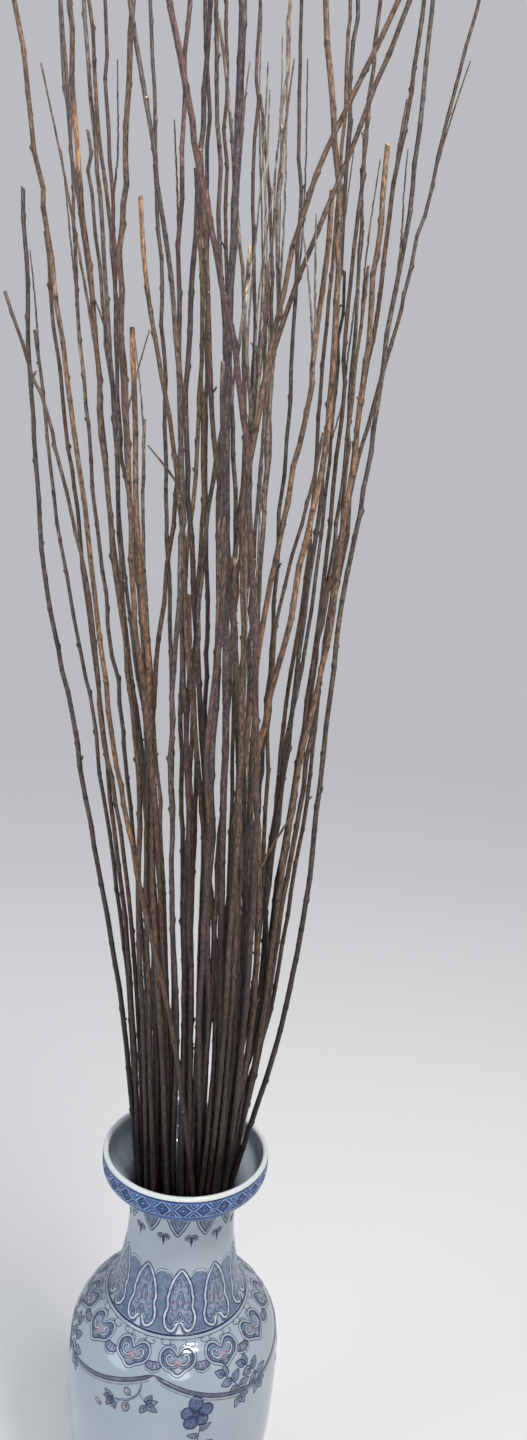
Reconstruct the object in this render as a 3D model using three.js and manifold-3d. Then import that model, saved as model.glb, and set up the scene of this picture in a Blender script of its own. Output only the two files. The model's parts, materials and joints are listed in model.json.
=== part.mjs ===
// Dry willow stems standing in a blue-and-white porcelain floor vase.
// Millimetres, +Z up. The origin is the centre of the vase's foot, on the floor, and -Y faces the viewer.
import * as THREE from "three";
import { mergeVertices } from "three/addons/utils/BufferGeometryUtils.js";
import Module from "manifold-3d";

const wasm = await Module();
wasm.setup();

// Driving dimensions
const VASE_HEIGHT = 610;
const LIP_RADIUS = 100;
const WALL = 6.5;
const FLOOR_THICKNESS = 14;
const FOOT_RADIUS = 91;
const FOOT_RING_WIDTH = 9;
const FOOT_RECESS = 4;
const FOOT_BEVEL = 2; // slope of the foot ring's inner side
const FLOOR_ROUNDING = { width: 6, height: 12 }; // between the inside's floor and its wall
const NECK_HEIGHT = 515; // height of the narrowest place of the neck
const VASE_SIDES = 40;
const OUTSIDE_STEPS = { body: 12, neck: 9 };
const INSIDE_STEPS = { body: 9, neck: 8 };
const LIP_STEPS = 4;
const SEAT_GAP = 0.3; // between a stem's cut base and the vase's floor
const STEM_GAP = 0.9; // aimed at between neighbouring stems
const WALL_GAP = 1.2; // between a stem and the vase's wall
const NECK_REACH = 50; // farthest that a stem's centre passes from the axis in the neck,
const BELLY_REACH = 56; // below it
const LIP_REACH = 64; // and at the lip
const AIM_HEIGHT = 555; // height on the neck's flare at which a stem's place in the neck is read
const BASE_GATHER = 0.82; // how much closer together the stems stand at their bases than in the neck
const BASE_TWIST = THREE.MathUtils.degToRad(26); // turn of the bunch between its bases and the neck
const FAN_SPAN = 1200; // height above the lip over which a stem's depth changes from its first value to its second
const FREE_WAY = { x: 0, y: 46, radius: 9.5 }; // shaft at the back that is kept free of stems, down to the floor
const FREE_BELLY_Y = 46; // behind this plane the belly is free of stems
const STEM_SIDES = 6;
const BASE_THICKENING = 0.5; // added to a stem's radius from the lip down to its base
const TAPER_POWER = 0.9; // below 1, a stem thins faster at first and slower towards its top
const SHORTEST_STRETCH = 30; // between a stem's highest level and its cut top
const TWIG_SIDES = 5;
const TWIG_STEPS = 4;
const TWIG_BEND = 1.2; // above 1, a twig leaves its stem along it and then turns outwards
const TWIG_TAPER = 0.3; // share of its radius that a twig loses

// Heights at which each stem has a ring of corners
const ABOVE_LIP = [780, 950, 1120, 1290, 1460, 1630, 1800, 2120];
const LEVELS = [FLOOR_THICKNESS + SEAT_GAP, 120, 240, 350, 440, NECK_HEIGHT, VASE_HEIGHT, ...ABOVE_LIP];
const NECK_LEVEL = LEVELS.indexOf(NECK_HEIGHT);
const LIP_LEVEL = LEVELS.indexOf(VASE_HEIGHT);

// How the bunch settles: in the first rounds each stem is drawn towards its wished place and straightened, in the
// rest the stems only move apart. All are shares of a distance for one round, sideways (x) and in depth (y).
const SETTLING = {
  drawnRounds: 260,
  partingRounds: 900,
  wallChecks: 6, // places along each stretch at which a stem is kept off the wall
  inVase: { pull: { x: 0.01, y: 0.01 }, straighten: { x: 0.12, y: 0.12 }, yielding: { x: 0.8, y: 1 } },
  aboveLip: { pull: { x: 0.05, y: 0.02 }, straighten: { x: 0, y: 0.15 }, yielding: { x: 0.25, y: 1 } },
};

// The vase's outside from the foot to the lip, as radius and height. Each run is one smooth curve.
const BODY_OUTLINE = [
  [FOOT_RADIUS, 0],
  [88, 18],
  [94, 48],
  [112, 120],
  [126, 200],
  [131.5, 285],
  [130, 350],
  [122, 377],
  [105, 398],
  [86.5, 410],
];
const NECK_OUTLINE = [
  [83, 413],
  [74, 442],
  [67.5, 480],
  [64.6, 515],
  [66, 550],
  [74, 565],
  [90, 573],
  [98.5, 584],
  [100.3, 597],
];

// The camera of the reference photograph, by which the traced stems below get their places
const CAMERA = {
  distance: 1228, // in front of the vase's axis
  height: 1462,
  pitch: THREE.MathUtils.degToRad(14.27), // looking down
  yaw: THREE.MathUtils.degToRad(2.54),
  roll: THREE.MathUtils.degToRad(4.34),
  focalPx: 1150,
  centrePx: [263.5, 720],
};
const TRACE_ROWS_PX = [0, 180, 360, 540, 720, 940, 1160];
const TRACE_ROUNDS = 12; // enough for a traced point's height and depth to agree

// Each stem: the colour of its bark, its pixel columns in the picture at the rows above, its depth at the lip and
// FAN_SPAN above it, the height of its cut top, and its diameters at the lip and near the top.
const STEMS = [
  { bark: "tan", columns: [18, 39, 64, 90, 111, 152, 200], depth: [-52, -95], top: 1925, girth: [6.4, 4.4] },
  { bark: "grey", columns: [-1, 37, 57, 79, 102, 128, 140], depth: [-15, -20], top: 1850, girth: [6.4, 3.4] },
  { bark: "grey", columns: [17, 20, 31, 39, 72, 112, 139], depth: [-8, 20], top: 1674, girth: [6.6, 4.4] },
  { bark: "grey", columns: [5, 18, 36, 61, 92, 122, 144], depth: [5, 60], top: 1542, girth: [6.2, 3.8] },
  { bark: "grey", columns: [-60, -30, 32, 79, 102, 132, 147], depth: [0, -50], top: 1570, girth: [6.2, 3.6] },
  {
    bark: "tan",
    columns: [69, 80, 96, 111, 132, 140, 150],
    depth: [-30, -60],
    top: 1960,
    girth: [7, 5],
    twig: { from: 1490, reach: [-34, -8, 275], girth: 2.6 },
  },
  { bark: "grey", columns: [83, 100, 112, 119, 139, 154, 163], depth: [-5, 10], top: 1990, girth: [6.6, 3.8] },
  { bark: "grey", columns: [88, 106, 115, 134, 148, 159, 168], depth: [-20, -40], top: 1935, girth: [6.4, 3.6] },
  { bark: "grey", columns: [78, 91, 110, 122, 143, 153, 158], depth: [8, 40], top: 1736, girth: [6, 3.8] },
  { bark: "tan", columns: [132, 122, 126, 130, 149, 160, 170], depth: [-35, -80], top: 1915, girth: [7, 5] },
  { bark: "tan", columns: [125, 127, 130, 138, 152, 159, 173], depth: [-42, -50], top: 1545, girth: [7, 5.4] },
  {
    bark: "tan",
    columns: [136, 137, 160, 183, 194, 212, 207],
    depth: [-45, -60],
    top: 1662,
    girth: [6.8, 4.4],
    twig: { from: 1398, reach: [-26, -6, 38], girth: 2.4 },
  },
  { bark: "grey", columns: [144, 130, 143, 142, 153, 165, 175], depth: [-15, 30], top: 1801, girth: [6, 3] },
  { bark: "grey", columns: [130, 159, 177, 180, 171, 175, 184], depth: [-48, -100], top: 1895, girth: [7, 4.4] },
  { bark: "red", columns: [170, 202, 233, 252, 257, 250, 232], depth: [-30, -168], top: 1890, girth: [7.4, 5.4] },
  { bark: "red", columns: [192, 181, 181, 182, 187, 190, 190], depth: [-50, -50], top: 1930, girth: [7, 4.4] },
  { bark: "red", columns: [212, 200, 188, 190, 204, 204, 198], depth: [-30, -20], top: 1975, girth: [7, 4.8] },
  { bark: "grey", columns: [218, 216, 230, 231, 241, 245, 232], depth: [-20, -30], top: 1905, girth: [6.6, 4] },
  { bark: "grey", columns: [243, 235, 229, 228, 223, 220, 218], depth: [-38, -130], top: 2010, girth: [8, 6.6] },
  { bark: "grey", columns: [218, 235, 245, 248, 244, 232, 224], depth: [-15, 10], top: 1837, girth: [6, 3.6] },
  { bark: "tan", columns: [202, 206, 209, 226, 239, 238, 226], depth: [-40, -70], top: 1705, girth: [7, 4.8] },
  { bark: "tan", columns: [190, 198, 204, 187, 181, 184, 192], depth: [-25, 0], top: 1678, girth: [6.4, 4] },
  {
    bark: "tan",
    columns: [326, 338, 335, 310, 263, 259, 240],
    depth: [-30, -60],
    top: 1955,
    girth: [7.6, 5.6],
    twig: { from: 985, reach: [36, -14, 74], girth: 2.8 },
  },
  { bark: "tan", columns: [400, 320, 268, 248, 243, 231, 213], depth: [-45, -140], top: 1865, girth: [7, 4.8] },
  { bark: "tan", columns: [410, 340, 269, 237, 228, 216, 203], depth: [-40, -110], top: 1850, girth: [6.8, 4.6] },
  {
    bark: "tan",
    columns: [345, 338, 312, 283, 246, 235, 217],
    depth: [-48, -100],
    top: 1676,
    girth: [7.4, 5.4],
    twig: { from: 1500, reach: [-22, -26, 150], girth: 2.4 },
  },
  { bark: "tan", columns: [395, 383, 365, 343, 310, 272, 247], depth: [-10, -80], top: 1722, girth: [7, 5.2] },
  { bark: "grey", columns: [423, 399, 364, 344, 314, 276, 250], depth: [0, -20], top: 1965, girth: [6.6, 4] },
  { bark: "grey", columns: [418, 386, 346, 295, 269, 258, 236], depth: [-20, 20], top: 1816, girth: [6.2, 3] },
  { bark: "grey", columns: [360, 344, 336, 314, 290, 264, 242], depth: [10, 60], top: 1940, girth: [6.8, 4.4] },
  { bark: "grey", columns: [378, 363, 345, 328, 304, 275, 250], depth: [15, 80], top: 1980, girth: [6.6, 4] },
  { bark: "grey", columns: [323, 264, 234, 219, 211, 202, 194], depth: [-50, -40], top: 1935, girth: [6, 3] },
  { bark: "grey", columns: [272, 257, 241, 239, 234, 224, 214], depth: [-5, 60], top: 1965, girth: [6, 3.2] },
  { bark: "red", columns: [281, 272, 260, 246, 240, 226, 213], depth: [5, 90], top: 1995, girth: [6, 3.2] },
  { bark: "grey", columns: [293, 279, 273, 260, 253, 245, 227], depth: [10, 40], top: 1925, girth: [6.2, 3.6] },
  { bark: "grey", columns: [280, 282, 284, 261, 249, 237, 222], depth: [-10, 0], top: 1610, girth: [5.8, 2.8] },
  { bark: "grey", columns: [250, 271, 271, 261, 252, 242, 228], depth: [15, 110], top: 1955, girth: [6, 3.4] },
  { bark: "grey", columns: [433, 414, 386, 355, 328, 300, 248], depth: [-15, -40], top: 2040, girth: [6.8, 4] },
  { bark: "tan", columns: [215, 205, 192, 170, 152, 147, 155], depth: [-46, -30], top: 1443, girth: [6.6, 4.6] },
  { bark: "grey", columns: [245, 238, 225, 203, 192, 184, 181], depth: [-54, -20], top: 1880, girth: [6.4, 3.6] },
  { bark: "grey", columns: [200, 198, 197, 192, 191, 191, 187], depth: [-50, -50], top: 1413, girth: [6.2, 3.4] },
  { bark: "red", columns: [221, 223, 224, 224, 215, 207, 203], depth: [-44, -112], top: 1518, girth: [7, 5] },
  { bark: "red", columns: [224, 224, 224, 224, 211, 203, 201], depth: [-52, -148], top: 1375, girth: [7, 5.4] },
  { bark: "tan", columns: [205, 203, 201, 199, 197, 191, 178], depth: [-56, 10], top: 1760, girth: [5.8, 3.4] },
  { bark: "grey", columns: [262, 269, 266, 256, 247, 236, 221], depth: [20, 105], top: 2060, girth: [6, 3] },
  { bark: "grey", columns: [268, 270, 268, 262, 255, 246, 233], depth: [25, 150], top: 2035, girth: [6, 3] },
  { bark: "grey", columns: [337, 342, 338, 320, 292, 262, 243], depth: [5, 100], top: 2020, girth: [6.2, 3] },
  { bark: "grey", columns: [372, 366, 352, 336, 306, 272, 248], depth: [20, 85], top: 2075, girth: [6.2, 3.4] },
  { bark: "grey", columns: [388, 375, 358, 338, 318, 285, 251], depth: [10, 50], top: 1900, girth: [6, 3.2] },
  { bark: "grey", columns: [60, 68, 80, 98, 120, 142, 155], depth: [25, 118], top: 2020, girth: [6.4, 3.6] },
  { bark: "red", columns: [105, 112, 122, 135, 148, 160, 168], depth: [35, 148], top: 2080, girth: [6.6, 3.6] },
  { bark: "grey", columns: [150, 155, 162, 168, 170, 172, 178], depth: [40, 92], top: 2005, girth: [6.6, 4] },
  { bark: "red", columns: [205, 206, 208, 207, 205, 200, 196], depth: [52, 152], top: 2100, girth: [6.8, 4] },
  { bark: "grey", columns: [230, 228, 225, 220, 212, 206, 205], depth: [44, 120], top: 2045, girth: [6.6, 3.8] },
  { bark: "red", columns: [258, 256, 252, 248, 240, 228, 215], depth: [30, 160], top: 1985, girth: [6.6, 3.8] },
  { bark: "grey", columns: [300, 298, 292, 282, 266, 246, 226], depth: [40, 112], top: 2070, girth: [6.4, 3.6] },
  {
    bark: "tan",
    columns: [350, 340, 326, 308, 286, 258, 235],
    depth: [30, 132],
    top: 2005,
    girth: [6.6, 3.8],
    twig: { from: 1330, reach: [30, 34, 190], girth: 2.4 },
  },
  { bark: "grey", columns: [478, 434, 386, 341, 304, 268, 240], depth: [25, 120], top: 1985, girth: [6.4, 3.6] },
  { bark: "red", columns: [62, 78, 96, 116, 138, 152, 164], depth: [15, 70], top: 2015, girth: [6.4, 3.6] },
];

const PORCELAIN = new THREE.MeshStandardMaterial({ color: 0xc4ced8, roughness: 0.2, metalness: 0 });
const BARKS = {
  tan: new THREE.MeshStandardMaterial({ color: 0x94704e, roughness: 0.75, metalness: 0 }),
  red: new THREE.MeshStandardMaterial({ color: 0x6e4a42, roughness: 0.8, metalness: 0 }),
  grey: new THREE.MeshStandardMaterial({ color: 0x62554c, roughness: 0.85, metalness: 0 }),
};

// Points of a smooth curve through [radius, height] pairs.
function smoothRun(outline, steps) {
  const curve = new THREE.SplineCurve(outline.map(([radius, height]) => new THREE.Vector2(radius, height)));
  return curve.getPoints(steps);
}

// The same run moved inwards by the wall's thickness, square to the curve.
function innerRun(outline, steps, wall) {
  const curve = new THREE.SplineCurve(outline.map(([radius, height]) => new THREE.Vector2(radius, height)));
  return curve.getPoints(steps).map((point, i) => {
    const along = curve.getTangent(i / steps);
    return new THREE.Vector2(point.x - along.y * wall, point.y + along.x * wall);
  });
}

// Half circle of the lip, from its outer side over the top to its inner side.
function lipArc(steps) {
  const radius = WALL / 2;
  const centre = new THREE.Vector2(LIP_RADIUS - radius, VASE_HEIGHT - radius);
  return Array.from({ length: steps + 1 }, (_, i) => {
    const angle = (Math.PI * i) / steps;
    return new THREE.Vector2(centre.x + radius * Math.cos(angle), centre.y + radius * Math.sin(angle));
  });
}

const outside = [
  ...smoothRun(BODY_OUTLINE, OUTSIDE_STEPS.body),
  ...smoothRun(NECK_OUTLINE, OUTSIDE_STEPS.neck),
];
const recessRadius = FOOT_RADIUS - FOOT_RING_WIDTH;
const innerFloorRadius = recessRadius - FLOOR_ROUNDING.width;
const inside = [
  ...innerRun(BODY_OUTLINE, INSIDE_STEPS.body, WALL),
  ...innerRun(NECK_OUTLINE, INSIDE_STEPS.neck, WALL),
]
  .filter((point) => point.y > FLOOR_THICKNESS + FLOOR_ROUNDING.height)
  .sort((a, b) => b.y - a.y);

// Free radius inside the vase at a height, between the points of the inside's outline.
function freeRadius(height) {
  for (let i = 1; i < inside.length; i++) {
    const [above, below] = [inside[i - 1], inside[i]];
    if (height >= below.y) {
      const share = (height - below.y) / (above.y - below.y);
      return THREE.MathUtils.lerp(below.x, above.x, Math.min(share, 1));
    }
  }
  return innerFloorRadius;
}

function makeVase() {
  const outline = [
    new THREE.Vector2(0, FOOT_RECESS),
    new THREE.Vector2(recessRadius - FOOT_BEVEL, FOOT_RECESS),
    new THREE.Vector2(recessRadius, 0),
    ...outside,
    ...lipArc(LIP_STEPS),
    ...inside,
    new THREE.Vector2(innerFloorRadius, FLOOR_THICKNESS),
    new THREE.Vector2(0, FLOOR_THICKNESS),
  ];
  const geometry = new THREE.LatheGeometry(outline, VASE_SIDES);
  geometry.rotateX(Math.PI / 2);
  const mesh = new THREE.Mesh(geometry, PORCELAIN);
  mesh.name = "vase";
  return mesh;
}

// Direction in space of a pixel of the photograph, from the camera.
function pixelRay(column, row) {
  const { pitch, yaw, roll, focalPx, centrePx } = CAMERA;
  const forward = new THREE.Vector3(0, Math.cos(pitch), -Math.sin(pitch));
  forward.applyAxisAngle(new THREE.Vector3(0, 0, -1), yaw);
  const level = new THREE.Vector3(Math.cos(yaw), -Math.sin(yaw), 0);
  const upright = new THREE.Vector3().crossVectors(level, forward);
  const across = level.clone().multiplyScalar(Math.cos(roll)).addScaledVector(upright, Math.sin(roll));
  const upwards = upright.clone().multiplyScalar(Math.cos(roll)).addScaledVector(level, -Math.sin(roll));
  return forward
    .addScaledVector(across, (column - centrePx[0]) / focalPx)
    .addScaledVector(upwards, -(row - centrePx[1]) / focalPx);
}

// A stem's depth at a height: it goes evenly from the first value at the lip to the second FAN_SPAN above.
function depthAt(stem, height) {
  return THREE.MathUtils.lerp(stem.depth[0], stem.depth[1], (height - VASE_HEIGHT) / FAN_SPAN);
}

// Where the picture's stem passes each traced row, as a point in space at the stem's own depth.
function tracedPoints(stem) {
  return TRACE_ROWS_PX.map((row, i) => {
    const ray = pixelRay(stem.columns[i], row);
    let height = CAMERA.height;
    let point;
    for (let round = 0; round < TRACE_ROUNDS; round++) {
      const reach = (depthAt(stem, height) + CAMERA.distance) / ray.y;
      point = new THREE.Vector3(0, -CAMERA.distance, CAMERA.height).addScaledVector(ray, reach);
      height = point.z;
    }
    return point;
  }).reverse();
}

// The stem's sideways place at a height, on a smooth curve through its traced points and straight on beyond them.
function sidewaysAt(points, height) {
  const last = points.length - 1;
  let i = 1;
  while (i < last && points[i].z < height) i++;
  const [a, b] = [points[i - 1], points[i]];
  const slope = (p, q) => (q.x - p.x) / (q.z - p.z);
  const middle = slope(a, b);
  const slopeA = i > 1 ? (slope(points[i - 2], a) + middle) / 2 : middle;
  const slopeB = i < last ? (middle + slope(b, points[i + 1])) / 2 : middle;
  if (height > b.z) return b.x + slopeB * (height - b.z);
  if (height < a.z) return a.x + slopeA * (height - a.z);
  const span = b.z - a.z;
  const t = (height - a.z) / span;
  const blend = t * t * (3 - 2 * t);
  const bendA = t * (1 - t) * (1 - t) * span * slopeA;
  const bendB = t * t * (t - 1) * span * slopeB;
  return a.x + (b.x - a.x) * blend + bendA + bendB;
}

// Keeps a place within a radius of the vase's axis.
function within(place, radius) {
  const away = Math.hypot(place.x, place.y);
  return away > radius ? { x: (place.x * radius) / away, y: (place.y * radius) / away } : place;
}

// A stem's centre at every level: traced above the lip, gathered and turned a little below the neck.
function wishedPath(stem) {
  const points = tracedPoints(stem);
  const at = (height) => ({ x: sidewaysAt(points, height), y: depthAt(stem, height) });
  const neck = within(at(AIM_HEIGHT), NECK_REACH);
  return LEVELS.map((height, level) => {
    if (level > LIP_LEVEL) return at(height);
    if (level === LIP_LEVEL) return within(at(height), LIP_REACH);
    const share = (NECK_HEIGHT - height) / (NECK_HEIGHT - LEVELS[0]);
    const size = THREE.MathUtils.lerp(1, BASE_GATHER, share);
    const turn = BASE_TWIST * share;
    return {
      x: size * (neck.x * Math.cos(turn) - neck.y * Math.sin(turn)),
      y: size * (neck.x * Math.sin(turn) + neck.y * Math.cos(turn)),
    };
  });
}

// A stem's radius at a level: a little thicker at its base, thinning towards its top.
function radiusAt(stem, height) {
  const [lip, top] = stem.girth.map((diameter) => diameter / 2);
  if (height < VASE_HEIGHT) return lip + BASE_THICKENING * (1 - height / VASE_HEIGHT);
  const share = (height - VASE_HEIGHT) / (stem.top - VASE_HEIGHT);
  return THREE.MathUtils.lerp(lip, top, Math.min(share, 1) ** TAPER_POWER);
}

// How a stem settles at a level: in the vase nearly alike both ways, above the lip rather in depth than sideways.
function settlingAt(level) {
  return level > LIP_LEVEL ? SETTLING.aboveLip : SETTLING.inVase;
}

// Moves two stems apart where they come nearest between two levels, and says whether it had to.
function partPair(a, b, level) {
  const [a0, a1, b0, b1] = [a.path[level], a.path[level + 1], b.path[level], b.path[level + 1]];
  const low = { x: a0.x - b0.x, y: a0.y - b0.y };
  const high = { x: a1.x - b1.x, y: a1.y - b1.y };
  const run = { x: high.x - low.x, y: high.y - low.y };
  const runSquared = run.x ** 2 + run.y ** 2;
  const nearest = runSquared > 0 ? -(low.x * run.x + low.y * run.y) / runSquared : 0;
  const t = Math.min(Math.max(nearest, 0), 1);
  const apart = { x: low.x + run.x * t, y: low.y + run.y * t };
  const distance = Math.max(Math.hypot(apart.x, apart.y), 1e-3);
  const needed = a.radii[level] + b.radii[level] + STEM_GAP;
  if (distance >= needed) return false;
  const free = settlingAt(level + (t > 0.5 ? 1 : 0)).yielding;
  const nx = apart.x / distance;
  const ny = apart.y / distance;
  const ease = free.x * nx * nx + free.y * ny * ny;
  const shift = (0.5 * (needed - distance)) / ease / (t * t + (1 - t) * (1 - t));
  const move = { x: shift * free.x * nx, y: shift * free.y * ny };
  for (const [place, sign, weight] of [
    [a0, 1, 1 - t],
    [a1, 1, t],
    [b0, -1, 1 - t],
    [b1, -1, t],
  ]) {
    place.x += sign * weight * move.x;
    place.y += sign * weight * move.y;
  }
  return true;
}

// Pushes a place out of the free shaft at the back, and the belly's back half free.
function keepWayFree(place, radius, level) {
  const reach = FREE_WAY.radius + radius;
  const [dx, dy] = [place.x - FREE_WAY.x, place.y - FREE_WAY.y];
  const away = Math.max(Math.hypot(dx, dy), 1e-3);
  if (level <= LIP_LEVEL && away < reach) {
    place.x = FREE_WAY.x + (dx * reach) / away;
    place.y = FREE_WAY.y + (dy * reach) / away;
  }
  if (level < NECK_LEVEL) place.y = Math.min(place.y, FREE_BELLY_Y - radius);
}

// Keeps a stem inside the vase's wall along the stretch above a level.
function keepInside(stem, level) {
  const [low, high] = [stem.path[level], stem.path[level + 1]];
  for (let i = 0; i <= SETTLING.wallChecks; i++) {
    const t = i / SETTLING.wallChecks;
    const height = THREE.MathUtils.lerp(LEVELS[level], LEVELS[level + 1], t);
    const limit = Math.min(freeRadius(height), height < NECK_HEIGHT ? BELLY_REACH : Infinity);
    const allowed = limit - stem.radii[level] - WALL_GAP;
    const x = low.x + (high.x - low.x) * t;
    const y = low.y + (high.y - low.y) * t;
    const away = Math.hypot(x, y);
    if (away > allowed) {
      const share = (away - allowed) / away / (t * t + (1 - t) * (1 - t));
      low.x -= x * share * (1 - t);
      low.y -= y * share * (1 - t);
      high.x -= x * share * t;
      high.y -= y * share * t;
    }
  }
}

// Draws each stem towards its wished place, and straightens it: both ways in the vase, and in depth above it.
function settleWishes(stem) {
  stem.path.forEach((place, level) => {
    const { pull, straighten } = settlingAt(level);
    place.x += pull.x * (stem.wished[level].x - place.x);
    place.y += pull.y * (stem.wished[level].y - place.y);
    if (level === 0 || level === LEVELS.length - 1) return;
    const [below, above] = [stem.path[level - 1], stem.path[level + 1]];
    const t = (LEVELS[level] - LEVELS[level - 1]) / (LEVELS[level + 1] - LEVELS[level - 1]);
    place.x += straighten.x * (below.x + (above.x - below.x) * t - place.x);
    place.y += straighten.y * (below.y + (above.y - below.y) * t - place.y);
  });
}

// Finds paths near the wished ones on which no two stems touch.
function settleBunch(stems) {
  const { drawnRounds, partingRounds } = SETTLING;
  for (let round = 0; round < drawnRounds + partingRounds; round++) {
    if (round < drawnRounds) stems.forEach(settleWishes);
    let parted = false;
    stems.forEach((a, i) =>
      stems.slice(i + 1).forEach((b) => {
        const shared = Math.min(a.levels, b.levels) - 1;
        for (let level = 0; level < shared; level++) parted = partPair(a, b, level) || parted;
      }),
    );
    for (const stem of stems) {
      stem.path.forEach((place, level) => keepWayFree(place, stem.radii[level], level));
      for (let level = 0; level < LIP_LEVEL; level++) keepInside(stem, level);
    }
    if (round > drawnRounds && !parted) return;
  }
}

// A closed tube from a cylinder whose rings lie level at the given centres, with their own radii.
function bentTube(rings, sides) {
  const steps = rings.length - 1;
  const geometry = new THREE.CylinderGeometry(1, 1, 1, sides, steps);
  geometry.rotateX(Math.PI / 2);
  const place = geometry.getAttribute("position");
  for (let i = 0; i < place.count; i++) {
    const ring = rings[Math.round((place.getZ(i) + 0.5) * steps)];
    place.setXYZ(i, ring.x + ring.radius * place.getX(i), ring.y + ring.radius * place.getY(i), ring.z);
  }
  return geometry;
}

// A stem's rings at the levels below its cut top, and one at the top itself.
function stemRings(stem) {
  const rings = [];
  for (let level = 0; level < LEVELS.length && LEVELS[level] < stem.top - SHORTEST_STRETCH; level++) {
    rings.push({ ...stem.path[level], z: LEVELS[level], radius: stem.radii[level] });
  }
  const level = rings.length - 1;
  const t = (stem.top - LEVELS[level]) / (LEVELS[level + 1] - LEVELS[level]);
  rings.push({
    x: THREE.MathUtils.lerp(stem.path[level].x, stem.path[level + 1].x, t),
    y: THREE.MathUtils.lerp(stem.path[level].y, stem.path[level + 1].y, t),
    z: stem.top,
    radius: radiusAt(stem, stem.top),
  });
  return rings;
}

// A side twig that leaves the stem along it and bends away from it.
function twigRings(stem, rings) {
  const { from, reach, girth } = stem.twig;
  const above = rings.findIndex((ring) => ring.z > from);
  const [low, high] = [rings[above - 1], rings[above]];
  const t = (from - low.z) / (high.z - low.z);
  const lean = { x: (high.x - low.x) / (high.z - low.z), y: (high.y - low.y) / (high.z - low.z) };
  const foot = { x: low.x + (high.x - low.x) * t, y: low.y + (high.y - low.y) * t };
  return Array.from({ length: TWIG_STEPS + 1 }, (_, i) => {
    const share = i / TWIG_STEPS;
    const climb = reach[2] * share;
    return {
      x: foot.x + lean.x * climb + reach[0] * share ** TWIG_BEND,
      y: foot.y + lean.y * climb + reach[1] * share ** TWIG_BEND,
      z: from + climb,
      radius: (girth / 2) * (1 - TWIG_TAPER * share),
    };
  });
}

function toSolid(geometry) {
  const bare = geometry.clone();
  bare.deleteAttribute("normal");
  bare.deleteAttribute("uv");
  const merged = mergeVertices(bare, 1e-3);
  return new wasm.Manifold(
    new wasm.Mesh({
      numProp: 3,
      vertProperties: merged.getAttribute("position").array,
      triVerts: new Uint32Array(merged.index.array),
    }),
  );
}

function toGeometry(solid) {
  const mesh = solid.getMesh();
  const geometry = new THREE.BufferGeometry();
  geometry.setAttribute("position", new THREE.BufferAttribute(mesh.vertProperties, 3));
  geometry.setIndex(new THREE.BufferAttribute(mesh.triVerts, 1));
  geometry.computeVertexNormals();
  return geometry;
}

function makeStem(stem, number) {
  const rings = stemRings(stem);
  let geometry = bentTube(rings, STEM_SIDES);
  if (stem.twig) {
    const twig = bentTube(twigRings(stem, rings), TWIG_SIDES);
    geometry = toGeometry(toSolid(geometry).add(toSolid(twig)));
  }
  const mesh = new THREE.Mesh(geometry, BARKS[stem.bark]);
  mesh.name = "stem_" + String(number).padStart(2, "0");
  return mesh;
}

const stems = STEMS.map((stem) => {
  const wished = wishedPath(stem);
  return {
    ...stem,
    wished,
    path: wished.map((place) => ({ ...place })),
    radii: LEVELS.map((height) => radiusAt(stem, height)),
    levels: LEVELS.filter((height) => height < stem.top - SHORTEST_STRETCH).length + 1,
  };
});
settleBunch(stems);

const willow = new THREE.Group();
willow.add(makeVase());
stems.forEach((stem, i) => willow.add(makeStem(stem, i + 1)));

export default willow;
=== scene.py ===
import json
import math

import bpy
import numpy as np
from mathutils import Matrix, Vector


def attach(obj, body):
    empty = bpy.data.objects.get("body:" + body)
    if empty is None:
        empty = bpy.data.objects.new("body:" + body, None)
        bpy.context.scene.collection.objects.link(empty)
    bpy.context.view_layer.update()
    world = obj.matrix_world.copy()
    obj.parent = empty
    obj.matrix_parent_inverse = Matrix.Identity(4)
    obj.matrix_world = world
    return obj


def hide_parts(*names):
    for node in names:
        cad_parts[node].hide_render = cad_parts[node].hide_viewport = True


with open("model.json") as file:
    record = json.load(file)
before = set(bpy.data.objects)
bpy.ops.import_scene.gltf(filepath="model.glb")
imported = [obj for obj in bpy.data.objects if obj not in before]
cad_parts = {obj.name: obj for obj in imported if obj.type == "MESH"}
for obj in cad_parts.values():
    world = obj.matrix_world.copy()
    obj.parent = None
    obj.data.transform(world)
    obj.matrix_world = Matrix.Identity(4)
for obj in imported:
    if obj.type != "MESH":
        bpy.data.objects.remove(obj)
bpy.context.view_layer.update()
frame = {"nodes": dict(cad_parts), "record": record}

slotOf = {part["node"]: part["material_slot"] for part in frame["record"]["subparts"]}
stemNames = sorted(name for name in frame["nodes"] if name.startswith("stem_"))
print("frame loaded:", len(stemNames), "stems")

# Camera, at the viewing angle of the photograph
cameraView = {
    "distance": 1.228,  # in front of the vase's axis
    "height": 1.462,
    "pitchDown": 14.27,  # degrees, as are yaw and roll
    "yaw": 2.54,
    "roll": 4.34,
    "focalShare": 1150 / 1440,  # focal length over the picture's height
    "sensor": 36.0,
    "clipEnd": 50.0,
}


def addCamera(view):
    pitch, yaw, roll = (math.radians(view[key]) for key in ("pitchDown", "yaw", "roll"))
    forward = Vector((math.sin(yaw) * math.cos(pitch), math.cos(yaw) * math.cos(pitch), -math.sin(pitch)))
    level = Vector((math.cos(yaw), -math.sin(yaw), 0.0))
    upright = level.cross(forward)
    across = level * math.cos(roll) + upright * math.sin(roll)
    upwards = upright * math.cos(roll) - level * math.sin(roll)
    data = bpy.data.cameras.new("photoCamera")
    data.sensor_width = view["sensor"]
    data.lens = view["sensor"] * view["focalShare"]
    data.clip_end = view["clipEnd"]
    camera = bpy.data.objects.new("photoCamera", data)
    turn = Matrix((across, upwards, -forward)).transposed().to_4x4()
    camera.matrix_world = Matrix.Translation((0.0, -view["distance"], view["height"])) @ turn
    bpy.context.scene.collection.objects.link(camera)
    bpy.context.scene.camera = camera


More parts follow.
